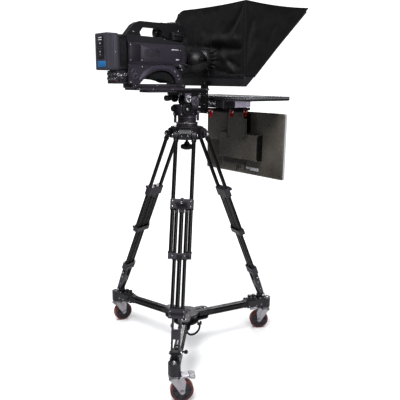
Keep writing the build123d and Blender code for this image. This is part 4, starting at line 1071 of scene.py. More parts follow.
def lens_details():
    """Ribbed focus and iris rings, the zoom ring's gear teeth and lever, and the front glass."""
    lens, glass = Shape(lens_origin), Shape(lens_origin)
    lens.lathe((88, 0, LENS_HEIGHT), (1, 0, 0), band_profile(40, 49, 21, 1, 1.4), 144, 36, 1.3)
    iris_profile = [(0, 34), (0, 38.4), (16, 38.4), (16, 34), (0, 34)]
    lens.lathe((-14, 0, LENS_HEIGHT), (1, 0, 0), iris_profile, 144, 48, 1.0)
    lens.piece("lens_ribbed_rings", rubber, "camera_plate", "lens_rubber")
    zoom = Shape(drawn_from("lens_zoom_ring", 24, -43, 1381))
    gear_profile = [(0, 40), (0, 43.6), (16, 43.6), (16, 40), (0, 40)]
    zoom.lathe((43, 0, LENS_HEIGHT), (1, 0, 0), gear_profile, 180, 60, 1.2)
    zoom.rod((50, 0, 1466), (50, 0, 1488), 2.4)
    zoom.piece("zoom_ring_gear", rubber, "zoom_ring", "lens_rubber")
    dome_profile = [(0, 0), (0, 39.5), (2, 39.5), (5, 32), (7, 22), (8.5, 10), (8.8, 0)]
    glass.lathe((122, 0, LENS_HEIGHT), (1, 0, 0), dome_profile, 56)
    glass.piece("lens_front_glass", screen_face, "camera_plate", "screen_glass")


def servo_details():
    """Rocker switch, buttons and seams of the lens servo grip, and its hand strap."""
    servo, strap = Shape(camera), Shape(camera)
    servo.block((-14, -103, 1416), (30, -97, 1430), 3, 3)
    servo.block((-2, -105.5, 1418), (18, -100, 1428), 2, 3)
    servo.lathe((-12, -93, 1396), (0, -1, 0), cap_profile(6, 8), 24)
    servo.lathe((22, -92, 1394), (0, -1, 0), cap_profile(4.5, 9, 1.0, 0.9), 24)
    servo.hoop((8, -56, 1414), (0, 1, 0), 45.8, 1.2, 64, 8)
    servo.hoop((7, -72, 1413), (0, 1, 0), 44.6, 0.9, 64, 8)
    servo.piece("servo_switches", gloss_black, "camera_plate", "black_plastic")
    points = [(-38, -62, 1380), (-34, -92, 1384), (-18, -108, 1390), (4, -112, 1394)]
    points += [(28, -106, 1398), (44, -84, 1402), (48, -62, 1404)]
    section = ((-13, 0.0), (-7.8, 1.2), (7.8, 1.2), (13, 0.0), (7.8, -1.2), (-7.8, -1.2))
    rows = []
    for point in smooth_path(points, 6):
        out = Vector((point.x - 6, point.y + 56, 0)).normalized()
        places = [point + Vector((0, 0, rise)) + out * lift for rise, lift in section]
        rows.append([strap.mesh.verts.new(strap.at(place)) for place in places])
    faces = strap.skin(rows, False, True)
    faces.append(strap.mesh.faces.new(rows[0]))
    faces.append(strap.mesh.faces.new(rows[-1]))
    bmesh.ops.recalc_face_normals(strap.mesh, faces=faces)
    strap.piece("servo_hand_strap", foam, "camera_plate", "hood_cloth")


camera_flanks()
camera_shoulder()
camera_rear()
battery_details()
camera_top()
viewfinder_details()
lens_details()
servo_details()


# ======================================================================================
# Dolly, tripod and head details
# ======================================================================================
rig = Vector((joints["pan"]["pos_m"][0], joints["pan"]["pos_m"][1], 0))
AXLE_OUT, AXLE_UP = 32, 50  # the wheel's axle from the swivel axis on the floor
DRUM_X, DRUM_Z = 8, 1238  # the tilt axis
ROSETTE_X, ROSETTE_Z = -34, 1249
DIAL_X, DIAL_Z = -28, 1203
ROD_HEIGHT = 1194
CLAMP_MIDDLE, CLAMP_FRONT = 243, 341  # the cross clamps along the rods
vial_green = coated("vial_green", rgb(0.45, 0.62, 0.08), 0.15, relief=0.02, wear=0.0)


def frame_of(x_dir, y_dir, z_dir):
    """The turn that takes drawing axes to three directions."""
    return Matrix((Vector(x_dir), Vector(y_dir), Vector(z_dir))).transposed()


def arm_turn(side):
    """X out along an arm of the dolly, Z up."""
    across = Vector(joints[f"leg_spread_{side}"]["axis"])
    return frame_of(across.cross(Vector((0, 0, 1))), across, (0, 0, 1))


def leg_frame(side):
    """The foot's hinge, with X out of the front of the leg and Z up along it."""
    out = Vector(joints[f"leg_lock_{side}"]["axis"])
    along = Vector(joints[f"leg_extend_{side}"]["axis"])
    return Vector(joints[f"leg_spread_{side}"]["pos_m"]), frame_of(out, along.cross(out), along)


def caster_frame(side):
    """The swivel axis on the floor, with X towards the wheel."""
    swivel = joints[f"caster_swivel_{side}"]["pos_m"]
    across = Vector(joints[f"wheel_spin_{side}"]["axis"])
    return Vector((swivel[0], swivel[1], 0)), frame_of(across.cross(Vector((0, 0, 1))), across, (0, 0, 1))


def dolly_details():
    """Washers, nuts, knob grips, foot screws, arm sleeves and swivel caps."""
    bright, dark, sleeves = Shape(rig), Shape(rig), Shape(rig)
    for side in SIDES:
        for shape in (bright, dark, sleeves):
            shape.turn = arm_turn(side)
        for z, up in ((185, 1), (135, -1)):
            ring(bright, (95, 0, z), (0, 0, up), 5.2, 12, 1.4)
        for x in (376, 400):
            ring(dark, (x, 0, 195), (0, 0, 1), 8.4, 10.2, 9, 60, 15, 0.9)
            bright.screw((x, 0, 206), (0, 0, 1), 3.2, 1.6)
        ring(bright, (478, 0, 178), (0, 0, 1), 6, 17, 2)
        bright.lathe((478, 0, 178), (0, 0, 1), [(0, 0), (0, 9.5), (5, 9.5), (6.5, 8), (9, 5), (9.6, 0)], 6)
        for y in (-1, 1):
            bright.screw((446.5, 25 * y, 205), (0, y, 0), 6.4, 3.4)
        for y in (-1, 1):
            for x in (432, 462):
                bright.screw((x, 19.95 * y, 186), (0, y, 0), 2.6, 1.8)
        for x in (366, 412, 440):
            for y in (-1, 1):
                bright.screw((x, 22 * y, 148), (0, y, 0), 2.8, 1.6)
        sleeves.plate(rounded_outline(-18.6, 18.6, 141.4, 178.6, 7), 340, 356, 0.8, "x")
        sleeves.plate(rounded_outline(-17.8, 17.8, 142.2, 177.8, 7), 118, 124, 0.8, "x")
        for y in (-19, 19):
            dark.block((150, y - 2.4, 152), (330, y + 2.4, 154.5), 0.6)
            dark.block((150, y - 2.4, 166), (330, y + 2.4, 168.5), 0.6)
        for step in range(4):
            angle = math.radians(-54 + step * 36)
            bright.screw((56 * math.cos(angle), 56 * math.sin(angle), 185), (0, 0, 1), 2.8, 1.8)
        dark.block((58, -3, 184), (84, 3, 187.5), 1)
    bright.piece("dolly_bright_screws", silver, "dolly", "zinc_steel")
    dark.piece("dolly_knob_grips", rubber, "dolly", "black_plastic")
    sleeves.piece("dolly_arm_sleeves", black_plastic, "dolly", "black_plastic")


def caster_fork_details(side, start, turn):
    """Ball race, dust ring, axle nuts and ribs on a caster's fork."""
    race = Shape(start, turn)
    ball = [(-2, 0), (-1.4, 1.4), (0, 2), (1.4, 1.4), (2, 0)]
    rib_outline = [(8, 105), (20, 105), (36, 70), (37, 52), (30, 52), (26, 66)]
    ring(race, (0, 0, 119), (0, 0, 1), 20.5, 23.4, 3)
    for step in range(22):
        angle = 2 * math.pi * step / 22
        race.lathe((22.2 * math.cos(angle), 22.2 * math.sin(angle), 117), (0, 0, 1), ball, 12)
    ring(race, (0, 0, 111), (0, 0, 1), 22, 25.2, 3.6)
    for y in (-1, 1):
        race.lathe((AXLE_OUT, 27.4 * y, AXLE_UP), (0, y, 0), cap_profile(7.4, 2.8, 0.6), 6)
        ring(race, (AXLE_OUT, 22.4 * y, AXLE_UP), (0, y, 0), 8.6, 11.5, 1.2)
        race.plate(rib_outline, *sorted((22.2 * y, 23.6 * y)), 0.5)
    race.piece(f"caster_race_{side}", zinc, f"caster_{side}", "zinc_steel")


def caster_wheel_details(side, start, turn):
    """Cover rings, spokes and the tread's edge line on both faces of a wheel."""
    covers, web = Shape(start, turn), Shape(start, turn)
    for y in (-1, 1):
        ring(covers, (AXLE_OUT, 14.6 * y, AXLE_UP), (0, y, 0), 38.6, 42.2, 1.4, 64)
        ring(covers, (AXLE_OUT, 9.6 * y, AXLE_UP), (0, y, 0), 15, 21, 2.4, 48)
        for step in range(6):
            inner = around(AXLE_OUT, 9.9 * y, AXLE_UP, 19, 60 * step)
            outer = around(AXLE_OUT, 10.6 * y, AXLE_UP, 37, 60 * step)
            web.rod(inner, outer, 2.2, 0.8, 12)
        web.hoop((AXLE_OUT, 15.4 * y, AXLE_UP), (0, 1, 0), 46.2, 0.7, 64, 6)
    covers.piece(f"wheel_covers_{side}", casting, f"wheel_{side}", "wheel_rubber")
    web.piece(f"wheel_web_{side}", black_plastic, f"wheel_{side}", "wheel_rubber")


def pedal_details(side, start, turn):
    """Grip ribs along the sloping top of a brake pedal."""
    ribs = Shape(start, turn)
    for step in range(5):
        x = 64 + step * 5
        z = 122.6 - (x - 61) / 9
        ribs.rod((x, -21, z), (x, 21, z), 1.3, 0.5, 12)
    ribs.piece(f"pedal_ribs_{side}", rubber, f"pedal_{side}", "black_plastic")


def leg_lower_details(side, start, turn):
    """Clamp screws, collar rings and foot straps on the lower part of a leg."""
    bright, cuffs = Shape(start, turn), Shape(start, turn)
    for y in (-41, 41):
        for z in (627, 650):
            bright.screw((15, y, z), (1, 0, 0), 3.0, 1.8)
    for z in (152, 172):
        for y in (-30, 30):
            bright.screw((15, y, z), (1, 0, 0), 2.8, 1.6)
    for y in (-1, 1):
        bright.screw((0, 20.4 * y, 40), (0, y, 0), 3.0, 1.8)
        bright.screw((0, 20.4 * y, 84), (0, y, 0), 3.4, 2.0)
        bright.screw((3, 23.4 * y, 112), (0, y, 0), 4.6, 2.0)
    bright.piece(f"leg_screws_{side}", silver, f"leg_lower_{side}", "zinc_steel")
    for y, inner in ((-23, 8.1), (0, 9.6), (23, 8.1)):
        ring(cuffs, (0, y, 182), (0, 0, 1), inner, inner + 2.2, 7)
    for y in (-41, 41):
        ring(cuffs, (0, y, 612.5), (0, 0, 1), 9.3, 11.4, 4)
    cuffs.block((-16, -30, 159), (-14.4, 30, 166), 0.6)
    cuffs.block((14.4, -26, 157), (16.4, 26, 167), 0.8)
    cuffs.piece(f"leg_cuffs_{side}", rubber, f"leg_lower_{side}", "black_plastic")


def leg_upper_details(side, start, turn):
    """Sleeves on the outer tubes, and the collar's rings, catch, knob and screws."""
    upper, collar = Shape(start, turn), Shape(start, turn)
    for y in (-41, 41):
        ring(upper, (0, y, 421), (0, 0, 1), 9.1, 12, 8)
        ring(upper, (0, y, 925), (0, 0, 1), 9.1, 11.6, 12)
    for y in (-23, 23):
        ring(upper, (0, y, 392), (0, 0, 1), 8.3, 10.6, 3.4)
    ring(upper, (0, 0, 392), (0, 0, 1), 9.8, 12, 3.4)
    upper.block((14.6, -9, 388), (18.6, 9, 412), 1.5)
    upper.lathe((17.6, 38, 408), (1, 0, 0), cap_profile(7, 7), 40, 10, 0.9)
    upper.piece(f"leg_sleeves_{side}", black_plastic, f"leg_upper_{side}", "black_plastic")
    for y in (-31.68, 24):
        collar.screw((15, y, 408), (1, 0, 0), 3.0, 1.8)
    collar.piece(f"collar_screws_{side}", silver, f"leg_upper_{side}", "zinc_steel")


def wing_lock_details(side, start, turn):
    """Washer, grip ribs and centre screw of a leg's wing lock."""
    wing, cap = Shape(start, turn), Shape(start, turn)
    ring(wing, (36, 0, 638.5), (1, 0, 0), 4, 9, 1.6)
    for y in (-1, 1):
        for step in range(4):
            reach = (12 + step * 3.4) * y
            wing.rod((38, reach, 633.5), (38, reach, 643.5), 0.9, 0.3, 10)
    wing.piece(f"wing_ribs_{side}", black_plastic, f"leg_wing_{side}", "black_plastic")
    cap.screw((37, 0, 638.5), (1, 0, 0), 4.4, 2.0)
    cap.piece(f"wing_screw_{side}", silver, f"leg_wing_{side}", "zinc_steel")


def bowl_details():
    """Hinge bolts, rim screws, rubber ring and the cap of the clamp knob."""
    bright, rim = Shape(rig), Shape(rig)
    for side in SIDES:
        bright.turn = rim.turn = arm_turn(side)
        for y in (-1, 1):
            bright.screw((80, 56 * y, 1088), (0, y, 0), 6.4, 2.6)
            bright.screw((88, 30 * y, 1104), (0, y, 0), 2.6, 1.6)
        for y in (14, -14):
            bright.screw((97.8, y, 1086), (1, 0, 0), 3.2, 1.8)
        rim.block((96.5, -20, 1093), (99.5, 20, 1096), 0.8)
        rim.block((60, -24, 1118.4), (76, 24, 1120.6), 0.8)
    bright.piece("bowl_bolts", silver, "bowl", "zinc_steel")
    rim.turn = Matrix.Identity(3)
    ring(rim, (0, 0, 1117), (0, 0, 1), 70, 72.2, 4, 72)
    ring(rim, (0, 0, 1074), (0, 0, 1), 63, 65.4, 5, 72)
    rim.piece("bowl_bands", rubber, "bowl", "black_plastic")
    knob = Shape(rig)
    dished_cap = [(-1, 0), (-1, 17), (1.4, 17), (2.4, 15), (2.4, 6), (1.4, 5), (1.4, 0)]
    knob.lathe((0, 0, 1016), (0, 0, -1), dished_cap, 48)
    ring(knob, (0, 0, 1038), (0, 0, 1), 13, 15.4, 4)
    knob.piece("clamp_knob_cap", gloss_black, "clamp_knob", "black_plastic")


def cradle_details():
    """Toothed rosettes, drum faces and screws on both sides of the tilt cradle."""
    teeth, drums, bolts = Shape(rig), Shape(rig), Shape(rig)
    rosette = [(0, 6), (0, 15.6), (1.2, 17.2), (5, 17.2), (5.8, 16), (5.8, 6), (0, 6)]
    for side, face in ((-1, 53.5), (1, 49.5)):
        axis = (0, side, 0)
        teeth.lathe((ROSETTE_X, 51 * side, ROSETTE_Z), axis, rosette, 160, 40, 1.2)
        for step in range(24):
            inner = around(ROSETTE_X, 57 * side, ROSETTE_Z, 8, 15 * step)
            outer = around(ROSETTE_X, 57 * side, ROSETTE_Z, 14.6, 15 * step)
            teeth.rod(inner, outer, 0.9, 0.3, 8)
        ring(drums, (DRUM_X, face * side, DRUM_Z), axis, 12, 20, 1.8, 56)
        ring(drums, (DRUM_X, (face - 6) * side, DRUM_Z), axis, 18, 23.8, 2.4, 72)
        drums.lathe((DRUM_X, face * side, DRUM_Z), axis, [(-1, 0), (-1, 8), (3, 8), (4, 7), (4, 0)], 32)
        for step in range(4):
            bolts.screw(around(DRUM_X, (face + 1.2) * side, DRUM_Z, 16, 45 + 90 * step), axis, 2.4, 1.4)
        for x in (-72, -20, 40, 80):
            bolts.screw((x, 44 * side, 1272), axis, 2.8, 1.8)
    teeth.piece("head_rosettes", silver, "cradle", "zinc_steel")
    drums.piece("head_drum_faces", violet_cast, "cradle", "black_metal")
    bolts.piece("cradle_screws", silver, "cradle", "zinc_steel")


def dial_details():
    """Fluted grips of the two drag dials and the plate lock, and the tilt dial's scale marks."""
    dial, marks, pan_dial, knob = Shape(rig), Shape(rig), Shape(rig), Shape(rig)
    profile = [(0, 25), (0, 28.6), (1.2, 29.8), (7.6, 29.8), (8.6, 28.6), (8.6, 25), (0, 25)]
    dial.lathe((DIAL_X, -31.2, DIAL_Z), (0, -1, 0), profile, 180, 30, 1.1)
    ring(dial, (DIAL_X, -40.2, DIAL_Z), (0, -1, 0), 18, 25, 1.6, 64)
    dial.piece("tilt_dial_grip", rubber, "tilt_dial", "black_plastic")
    for step in range(9):
        inner = around(DIAL_X, -41.6, DIAL_Z, 21.6, 20 + step * 40)
        outer = around(DIAL_X, -41.6, DIAL_Z, 24.4, 20 + step * 40)
        marks.rod(inner, outer, 0.6, 0.2, 8)
    marks.lathe((DIAL_X, -38.6, DIAL_Z), (0, -1, 0), cap_profile(7, 3.2, 0.6), 28)
    marks.piece("tilt_dial_marks", silver, "tilt_dial", "zinc_steel")
    profile = [(0, 11), (0, 13.2), (1, 14), (7.6, 14), (8.4, 13.2), (8.4, 11), (0, 11)]
    pan_dial.lathe((-63.4, 18, 1205), (-1, 0, 0), profile, 100, 20, 0.9)
    pan_dial.piece("pan_dial_grip", rubber, "pan_dial", "black_plastic")
    knob.lathe((-93, 20, 1252), (-1, 0, 0), band_profile(10, 13, 17, 1, 0.8), 100, 20, 0.9)
    knob.piece("plate_knob_grip", rubber, "plate_knob", "black_plastic")


def lock_lever_details():
    """Grip ribs and pivot screws of the pan and tilt lock levers."""
    pan_lever, tilt_lever = Shape(rig), Shape(rig)
    for step in range(5):
        pan_lever.rod((27.4, -44.4, 1156 + step * 4), (36.6, -44.4, 1156 + step * 4), 0.7, 0.2, 8)
        tilt_lever.rod((-74.4, -4.2, 1147 + step * 4), (-74.4, 4.2, 1147 + step * 4), 0.7, 0.2, 8)
    pan_lever.screw((32, -44, 1190), (0, -1, 0), 4.4, 2)
    pan_lever.piece("pan_lever_ribs", silver, "pan_lever", "zinc_steel")
    tilt_lever.screw((-75, 0, 1182), (-1, 0, 0), 4.4, 2)
    tilt_lever.piece("tilt_lever_ribs", silver, "tilt_lever", "zinc_steel")


def head_body_details():
    """Screws and seams of the head's body, and the bubble level on its base."""
    body, seams, level, vial = Shape(rig), Shape(rig), Shape(rig), Shape(rig)
    for side in (-1, 1):
        for x, z in ((-57.6, 1218.6), (44, 1216), (-57.6, 1180), (14, 1180)):
            body.screw((x, 30 * side, z), (0, side, 0), 2.6, 1.6)
        seams.block((-58, 30 * side - 0.35, 1196), (46, 30 * side + 0.35, 1197.4), 0.1)
        seams.block((2, 30 * side - 0.35, 1206), (44, 30 * side + 0.35, 1213), 0.1)
    body.piece("head_screws", silver, "pan_head", "zinc_steel")
    ring(seams, (0, 0, 1164), (0, 0, 1), 42, 44, 4, 72)
    seams.piece("head_seams", violet_cast, "pan_head", "black_metal")
    ring(level, (-30, -35, 1141.6), (0, 0, 1), 6.2, 8.6, 4.4, 36)
    ring(level, (0, 0, 1137), (0, 0, 1), 49, 51.4, 3.6, 72)
    level.piece("bubble_level_ring", zinc, "head_base", "zinc_steel")
    vial.lathe((-30, -35, 1141.8), (0, 0, 1), [(0, 0), (0, 6.1), (3, 6.1), (4, 4), (4.4, 0)], 28)
    vial.piece("bubble_vial", vial_green, "head_base", "screen_glass")


# ======================================================================================
# Plates, rods and monitors
# ======================================================================================


def plate_details():
    """Edge screws, scale marks, stops and grooves on the stacked plates and the upright."""
    bright, ticks, strips = Shape(rig), Shape(rig), Shape(rig)
    for side in (-1, 1):
        for x in (-296, -226, -120, -20, 78):
            bright.screw((x, 48 * side, 1292), (0, side, 0), 2.4, 1.4)
        for x in (-310, -200, -56):
            bright.screw((x, 40 * side, 1307), (0, side, 0), 2.8, 1.6)
        for step in range(15):
            x = -230 + step * 8
            ticks.block((x, 34.5 * side - 0.35, 1283), (x + 0.8, 34.5 * side + 0.35, 1286.5), 0.1, 1)
        strips.block((-316, 40 * side - 0.7, 1303), (-46, 40 * side + 0.7, 1304.6), 0.3)
        strips.block((-300, 48 * side - 0.6, 1289.6), (90, 48 * side + 0.6, 1290.6), 0.2)
    for z in (1222, 1262, 1320):
        for y in (-11, 11):
            bright.screw((97, y, z), (-1, 0, 0), 2.6, 1.8)
    for y in (-37, -14, 14, 37):
        bright.screw((92, y, 1185), (-1, 0, 0), 2.4, 1.6)
        bright.screw((122, y, 1185), (1, 0, 0), 2.4, 1.6)
    strips.block((-323.5, -30, 1299), (-321, 30, 1311), 0.8)
    strips.block((-243.6, -20, 1280), (-241.4, 20, 1286), 0.6)
    bright.piece("plate_screws", silver, "camera_plate", "zinc_steel")
    ticks.piece("plate_scale_marks", pale_print, "camera_plate", "black_metal")
    strips.piece("plate_grooves", dark_paint, "camera_plate", "black_metal")


def rod_details():
    """End caps of the rods, clamp screws, pins and ribs of the red levers."""
    caps = Shape(rig)
    for y in (-30, 30):
        caps.lathe((383.4, y, ROD_HEIGHT), (1, 0, 0), cap_profile(6.3, 2.6, 1.0, 1.1), 32)
        ring(caps, (122, y, ROD_HEIGHT), (1, 0, 0), 7.6, 10.2, 3)
    caps.piece("rod_end_caps", gloss_black, "camera_plate", "black_plastic")
    clamps = Shape(rig)
    for clamp_x in (CLAMP_MIDDLE, CLAMP_FRONT):
        for y in (-37, -17, 17, 37):
            for x in (clamp_x - 6, clamp_x + 6):
                clamps.screw((x, y, 1178), (0, 0, -1), 2.2, 1.6)
        clamps.screw((clamp_x, 43, 1190), (0, 1, 0), 3.6, 2.2)
    for x in (262, 292, 322):
        clamps.screw((x, -43, 1205), (0, -1, 0), 1.5, 1.2)
    clamps.piece("clamp_screws", silver, "carriage", "zinc_steel")
    pin_profile = [(-1, 0), (-1, 5), (1.4, 5), (2.2, 4), (2.2, 2), (1.2, 1.6), (1.2, 0)]
    on_clamps = [("middle", CLAMP_MIDDLE, 1184, -56), ("front", CLAMP_FRONT, 1184, -56)]
    for name, x, z, face in [("rear", 108, 1190, -55)] + on_clamps:
        pin, grip = Shape(rig), Shape(rig)
        pin.lathe((x, face, z), (0, -1, 0), pin_profile, 28)
        ring(pin, (x, face + 12.4, z), (0, -1, 0), 7, 9.2, 1.4, 32)
        pin.piece(f"lever_pin_{name}", silver, f"lever_{name}", "zinc_steel")
        for step in range(4):
            start = (x - 7 - step * 0.8, face + 0.9, z - 13 - step * 3)
            end = (x + 2 - step * 0.5, face + 0.9, z - 13 - step * 3)
            grip.rod(start, end, 0.7, 0.2, 8)
        grip.piece(f"lever_ribs_{name}", red_anodised, f"lever_{name}", "red_metal")


def script_monitor_details():
    """Bright rim, vents, bolts and the socket panel of the flat monitor, and two painted highlights on its
    top.
    """
    rim = Shape(rig)
    for y in (-1, 1):
        rim.block((134, 250 * y - 1.2, 1251), (431, 250 * y + 1.2, 1258.4), 0.8)
    for x in (131, 434):
        rim.block((x - 1.2, -247, 1251), (x + 1.2, 247, 1258.4), 0.8)
    rim.piece("script_monitor_rim", silver, "carriage", "zinc_steel")
    vents, bolts = Shape(rig), Shape(rig)
    for y in (-1, 1):
        for step in range(16):
            start = 112 * y + step * 7.6 * y
            low, high = sorted((start, start + 3.2 * y))
            vents.block((150, low, 1240.8), (196, high, 1243), 0.4)
            vents.block((334, low, 1240.8), (412, high, 1243), 0.4)
        for reach in (240, 120):
            for x in (140, 424):
                bolts.screw((x, reach * y, 1242), (0, 0, -1), 3, 1.8)
        for x in (226, 311):
            for z in (1214, 1236):
                bolts.screw((x, 100 * y, z), (0, y, 0), 2.2, 1.4)
        for x in (142, 204):
            bolts.screw((x, 100 * y, 1237), (0, y, 0), 2.0, 1.4)
        for step in range(9):
            x = 148 + step * 5.6
            vents.block((x, 100 * y - 0.9, 1214), (x + 2.4, 100 * y + 0.9, 1230), 0.4)
    vents.block((213, -99, 1210), (214.6, 99, 1242), 0.4)
    vents.piece("script_monitor_vents", dark_paint, "carriage", "black_plastic")
    panel = Shape(rig)
    panel.plate(rounded_outline(-46, 12, 1211, 1238, 3), 133.6, 135.6, 0.5, "x")
    for y in (-36, -18):
        panel.lathe((133.8, y, 1224), (-1, 0, 0), socket_profile(6.4, 2, 5, 7, 3.6, 1), 26)
    panel.block((129, -8, 1216), (134, 8, 1232), 1)
    panel.piece("script_monitor_sockets", silver, "carriage", "zinc_steel")
    bolts.piece("script_monitor_bolts", silver, "carriage", "zinc_steel")
    cores = Shape(rig)
    for y in (-36, -18):
        cores.rod((135, y, 1224), (127.5, y, 1224), 1.5, 0.3, 12)
    cores.block((127.6, -5.5, 1219), (130, 5.5, 1229), 0.5)
    cable = [(128, 0, 1224), (118, 12, 1226), (108, 30, 1232), (96, 34, 1250), (90, 40, 1276), (80, 50, 1292)]
    cores.cord(cable, 2.6)
    cores.piece("script_monitor_cable", rubber, "carriage", "lens_rubber")
    # Two small pale squares on the top corners are painted highlights.
    glint = Shape(rig)
    for x, y in ((145, -236), (420, 236)):
        glint.block((x - 2.5, y - 2.5, 1260.6), (x + 2.5, y + 2.5, 1261.8), 0.4)
    glint.piece("script_monitor_painted_glints", pale_print, "carriage", "camera_plastic")


def talent_monitor_details():
    """Vent slats, ports, blank labels, seams and bolts on the back of the hanging monitor, and a black strip
    that is partly a recess and partly the bracket's painted shadow.
    """
    slats, ports, labels, bolts = Shape(rig), Shape(rig), Shape(rig), Shape(rig)
    back = 371
    for step in range(22):
        y = 136 - step * 8
        slats.block((back - 1.1, y - 2, 905), (back + 1, y + 2, 932), 0.4)
    for step in range(18):
        y = 260 - step * 6.4
        slats.block((back - 1.1, y - 1.2, 880), (back + 1, y + 1.2, 1020), 0.4)
    # Black strip beside the bracket: partly a real recess, partly the bracket's painted shadow.
    ports.block((back - 1.6, -58, 1078), (back + 1, 18, 1170), 1.0)
    for y, z, wide, tall in ((20, 890, 7, 22), (34, 886, 5, 30), (8, 893, 5, 16), (-26, 900, 6, 42)):
        ports.block((back - 1.4, y - wide / 2, z - tall / 2), (back + 1, y + wide / 2, z + tall / 2), 0.8)
    labels.block((back - 1.0, -122, 884), (back + 1, -60, 900), 0.3)
    labels.block((back - 1.0, -56, 890), (back + 1, -34, 900), 0.3)
    for y, z in ((-210, 905), (-262, 1165), (262, 1165), (262, 880), (-262, 880), (-180, 1120), (200, 1120)):
        bolts.screw((back, y, z), (-1, 0, 0), 3.0, 1.6)
    for y in (-47, 53):
        bolts.screw((334, y, 950), (-1, 0, 0), 3.2, 1.8)
    seam = rounded_outline(-138, 138, 941, 1071, 9)
    for first, second in zip(seam, seam[1:] + seam[:1]):
        if math.hypot(second[0] - first[0], second[1] - first[1]) > 3:
            ports.rod((335.2, *first), (335.2, *second), 1.4, 0.4, 10)
    vent_grey = coated("vent_grey", rgb(0.03, 0.028, 0.025), 0.3, relief=0.05)
    slats.piece("talent_monitor_vents", vent_grey, "talent_monitor", "black_plastic")
    ports.piece("talent_monitor_ports_and_shadow_strip", gloss_black, "talent_monitor", "black_plastic")
    labels.piece("talent_monitor_blank_labels", pale_print, "talent_monitor", "camera_plastic")
    bolts.piece("talent_monitor_bolts", casting, "talent_monitor", "zinc_steel")


def bracket_details():
    """Bolts and folded edges of the bracket that the talent monitor hangs on."""
    hanger, folds = Shape(rig), Shape(rig)
    for y, z in ((-47, 1050), (53, 1050), (-30, 1166), (58, 1166)):
        hanger.screw((328, y, z), (-1, 0, 0), 3.6, 2.0)
    hanger.piece("bracket_bolts", casting, "carriage", "zinc_steel")
    folds.block((327.2, -64, 1041), (328.6, -61, 1148), 0.4)
    folds.block((327.2, 67, 1041), (328.6, 70, 1176), 0.4)
    folds.piece("bracket_edges", satin_black, "carriage", "black_metal")


dolly_details()
for side in SIDES:
    caster_fork_details(side, *caster_frame(side))
    caster_wheel_details(side, *caster_frame(side))
    pedal_details(side, *caster_frame(side))
for side in SIDES:
    leg_lower_details(side, *leg_frame(side))
    leg_upper_details(side, *leg_frame(side))
    wing_lock_details(side, *leg_frame(side))
bowl_details()
cradle_details()
dial_details()
lock_lever_details()
head_body_details()
plate_details()
rod_details()
script_monitor_details()
talent_monitor_details()
bracket_details()


# ======================================================================================
# Floor, light and camera
# ======================================================================================


def floor_material():
    """Pale matt floor near the rig that glows into the white backdrop further out."""
    shader = Shader("studio_floor")
    far = shader.spread(shader.radius((0, 0, 0), (0, 0, 1)), 0.75, 1.9)
    tint = shader.mix(shader.noise(3.0), rgb(0.86, 0.86, 0.86), rgb(0.9, 0.9, 0.9))
    grain = shader.bump(shader.noise(220.0), 0.05, 0.0005)
    seen = shader.nodes.new("ShaderNodeLightPath").outputs["Is Camera Ray"]
    shader.principled(
        Base_Color=shader.mix(far, tint, rgb(0.1, 0.1, 0.1)),
        Roughness=0.75,
        Normal=grain,
        Emission_Color=rgb(1.0, 1.0, 1.0),
        Emission_Strength=shader.math("MULTIPLY", far, shader.spread(seen, 0.0, 1.0, 0.2, 1.0)),
    )
    return shader.material


def make_stage():
    """A wide round floor just under the wheels."""
    mesh = bpy.data.meshes.new("floor")
    shape = bmesh.new()
    bmesh.ops.create_circle(shape, cap_ends=True, segments=96, radius=40.0)
    shape.to_mesh(mesh)
    shape.free()
    floor = bpy.data.objects.new("floor", mesh)
    floor.location = (rig.x, rig.y, cad_low.z - 0.5 * MM)
    mesh.materials.append(floor_material())
    scene.collection.objects.link(floor)


def area_light(name, place, target, size, power):
    data = bpy.data.lights.new(name, "AREA")
    data.shape = "RECTANGLE"
    data.size, data.size_y = size
    data.energy = power
    lamp = bpy.data.objects.new(name, data)
    lamp.location = place
    lamp.rotation_euler = (Vector(target) - Vector(place)).to_track_quat("-Z", "Y").to_euler()
    scene.collection.objects.link(lamp)


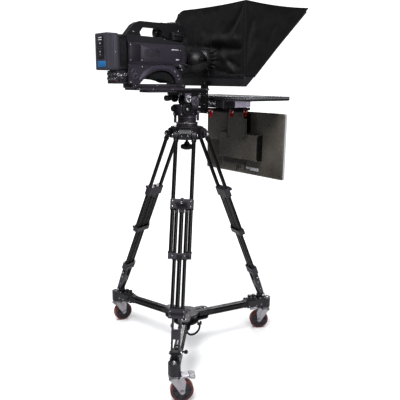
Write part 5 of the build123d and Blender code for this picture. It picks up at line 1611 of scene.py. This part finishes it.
def make_light():
    """White backdrop for the camera, a dim surround for everything else, and three soft lamps."""
    world = bpy.data.worlds.new("studio")
    world.use_nodes = True
    nodes, links = world.node_tree.nodes, world.node_tree.links
    surround = nodes["Background"]
    surround.inputs["Color"].default_value = rgb(0.93, 0.95, 1.0)
    surround.inputs["Strength"].default_value = 0.3
    backdrop = nodes.new("ShaderNodeBackground")
    backdrop.inputs["Color"].default_value = rgb(1.0, 1.0, 1.0)
    seen = nodes.new("ShaderNodeLightPath")
    choice = nodes.new("ShaderNodeMixShader")
    links.new(seen.outputs["Is Camera Ray"], choice.inputs[0])
    links.new(surround.outputs[0], choice.inputs[1])
    links.new(backdrop.outputs[0], choice.inputs[2])
    links.new(choice.outputs[0], nodes["World Output"].inputs["Surface"])
    scene.world = world
    scene.view_settings.view_transform = "Standard"
    scene.view_settings.look = "Medium High Contrast"
    aim = (0.0, 0.0, 1.0)
    area_light("key", (-1.6, -0.8, 4.2), aim, (2.4, 2.4), 190)
    area_light("fill", (-0.4, -3.4, 1.8), aim, (1.8, 1.8), 40)
    area_light("rim", (2.6, 2.4, 3.2), aim, (1.8, 1.8), 90)


def make_camera():
    """The view from behind and to the near side of the rig, a little below the lens axis."""
    stand_off, bearing, height = 2.3915, math.radians(230.71), 1.3227
    yaw, pitch, roll = math.radians(49.15), math.radians(13.06), math.radians(0.66)
    focal_share = 1.2666
    data = bpy.data.cameras.new("view")
    data.sensor_width = 36.0
    data.lens = data.sensor_width * focal_share
    view = bpy.data.objects.new("view", data)
    flat = Vector((math.cos(yaw), math.sin(yaw), 0))
    right = Vector((math.sin(yaw), -math.cos(yaw), 0))
    ahead = flat * math.cos(pitch) - Vector((0, 0, math.sin(pitch)))
    up = right.cross(ahead)
    tilted_right = right * math.cos(roll) + up * math.sin(roll)
    tilted_up = up * math.cos(roll) - right * math.sin(roll)
    turn = Matrix((tilted_right, tilted_up, -ahead)).transposed().to_4x4()
    place = rig + Vector((math.cos(bearing), math.sin(bearing), 0)) * stand_off
    place.z = height
    view.matrix_world = Matrix.Translation(place) @ turn
    scene.collection.objects.link(view)
    scene.camera = view


make_stage()
make_light()
make_camera()
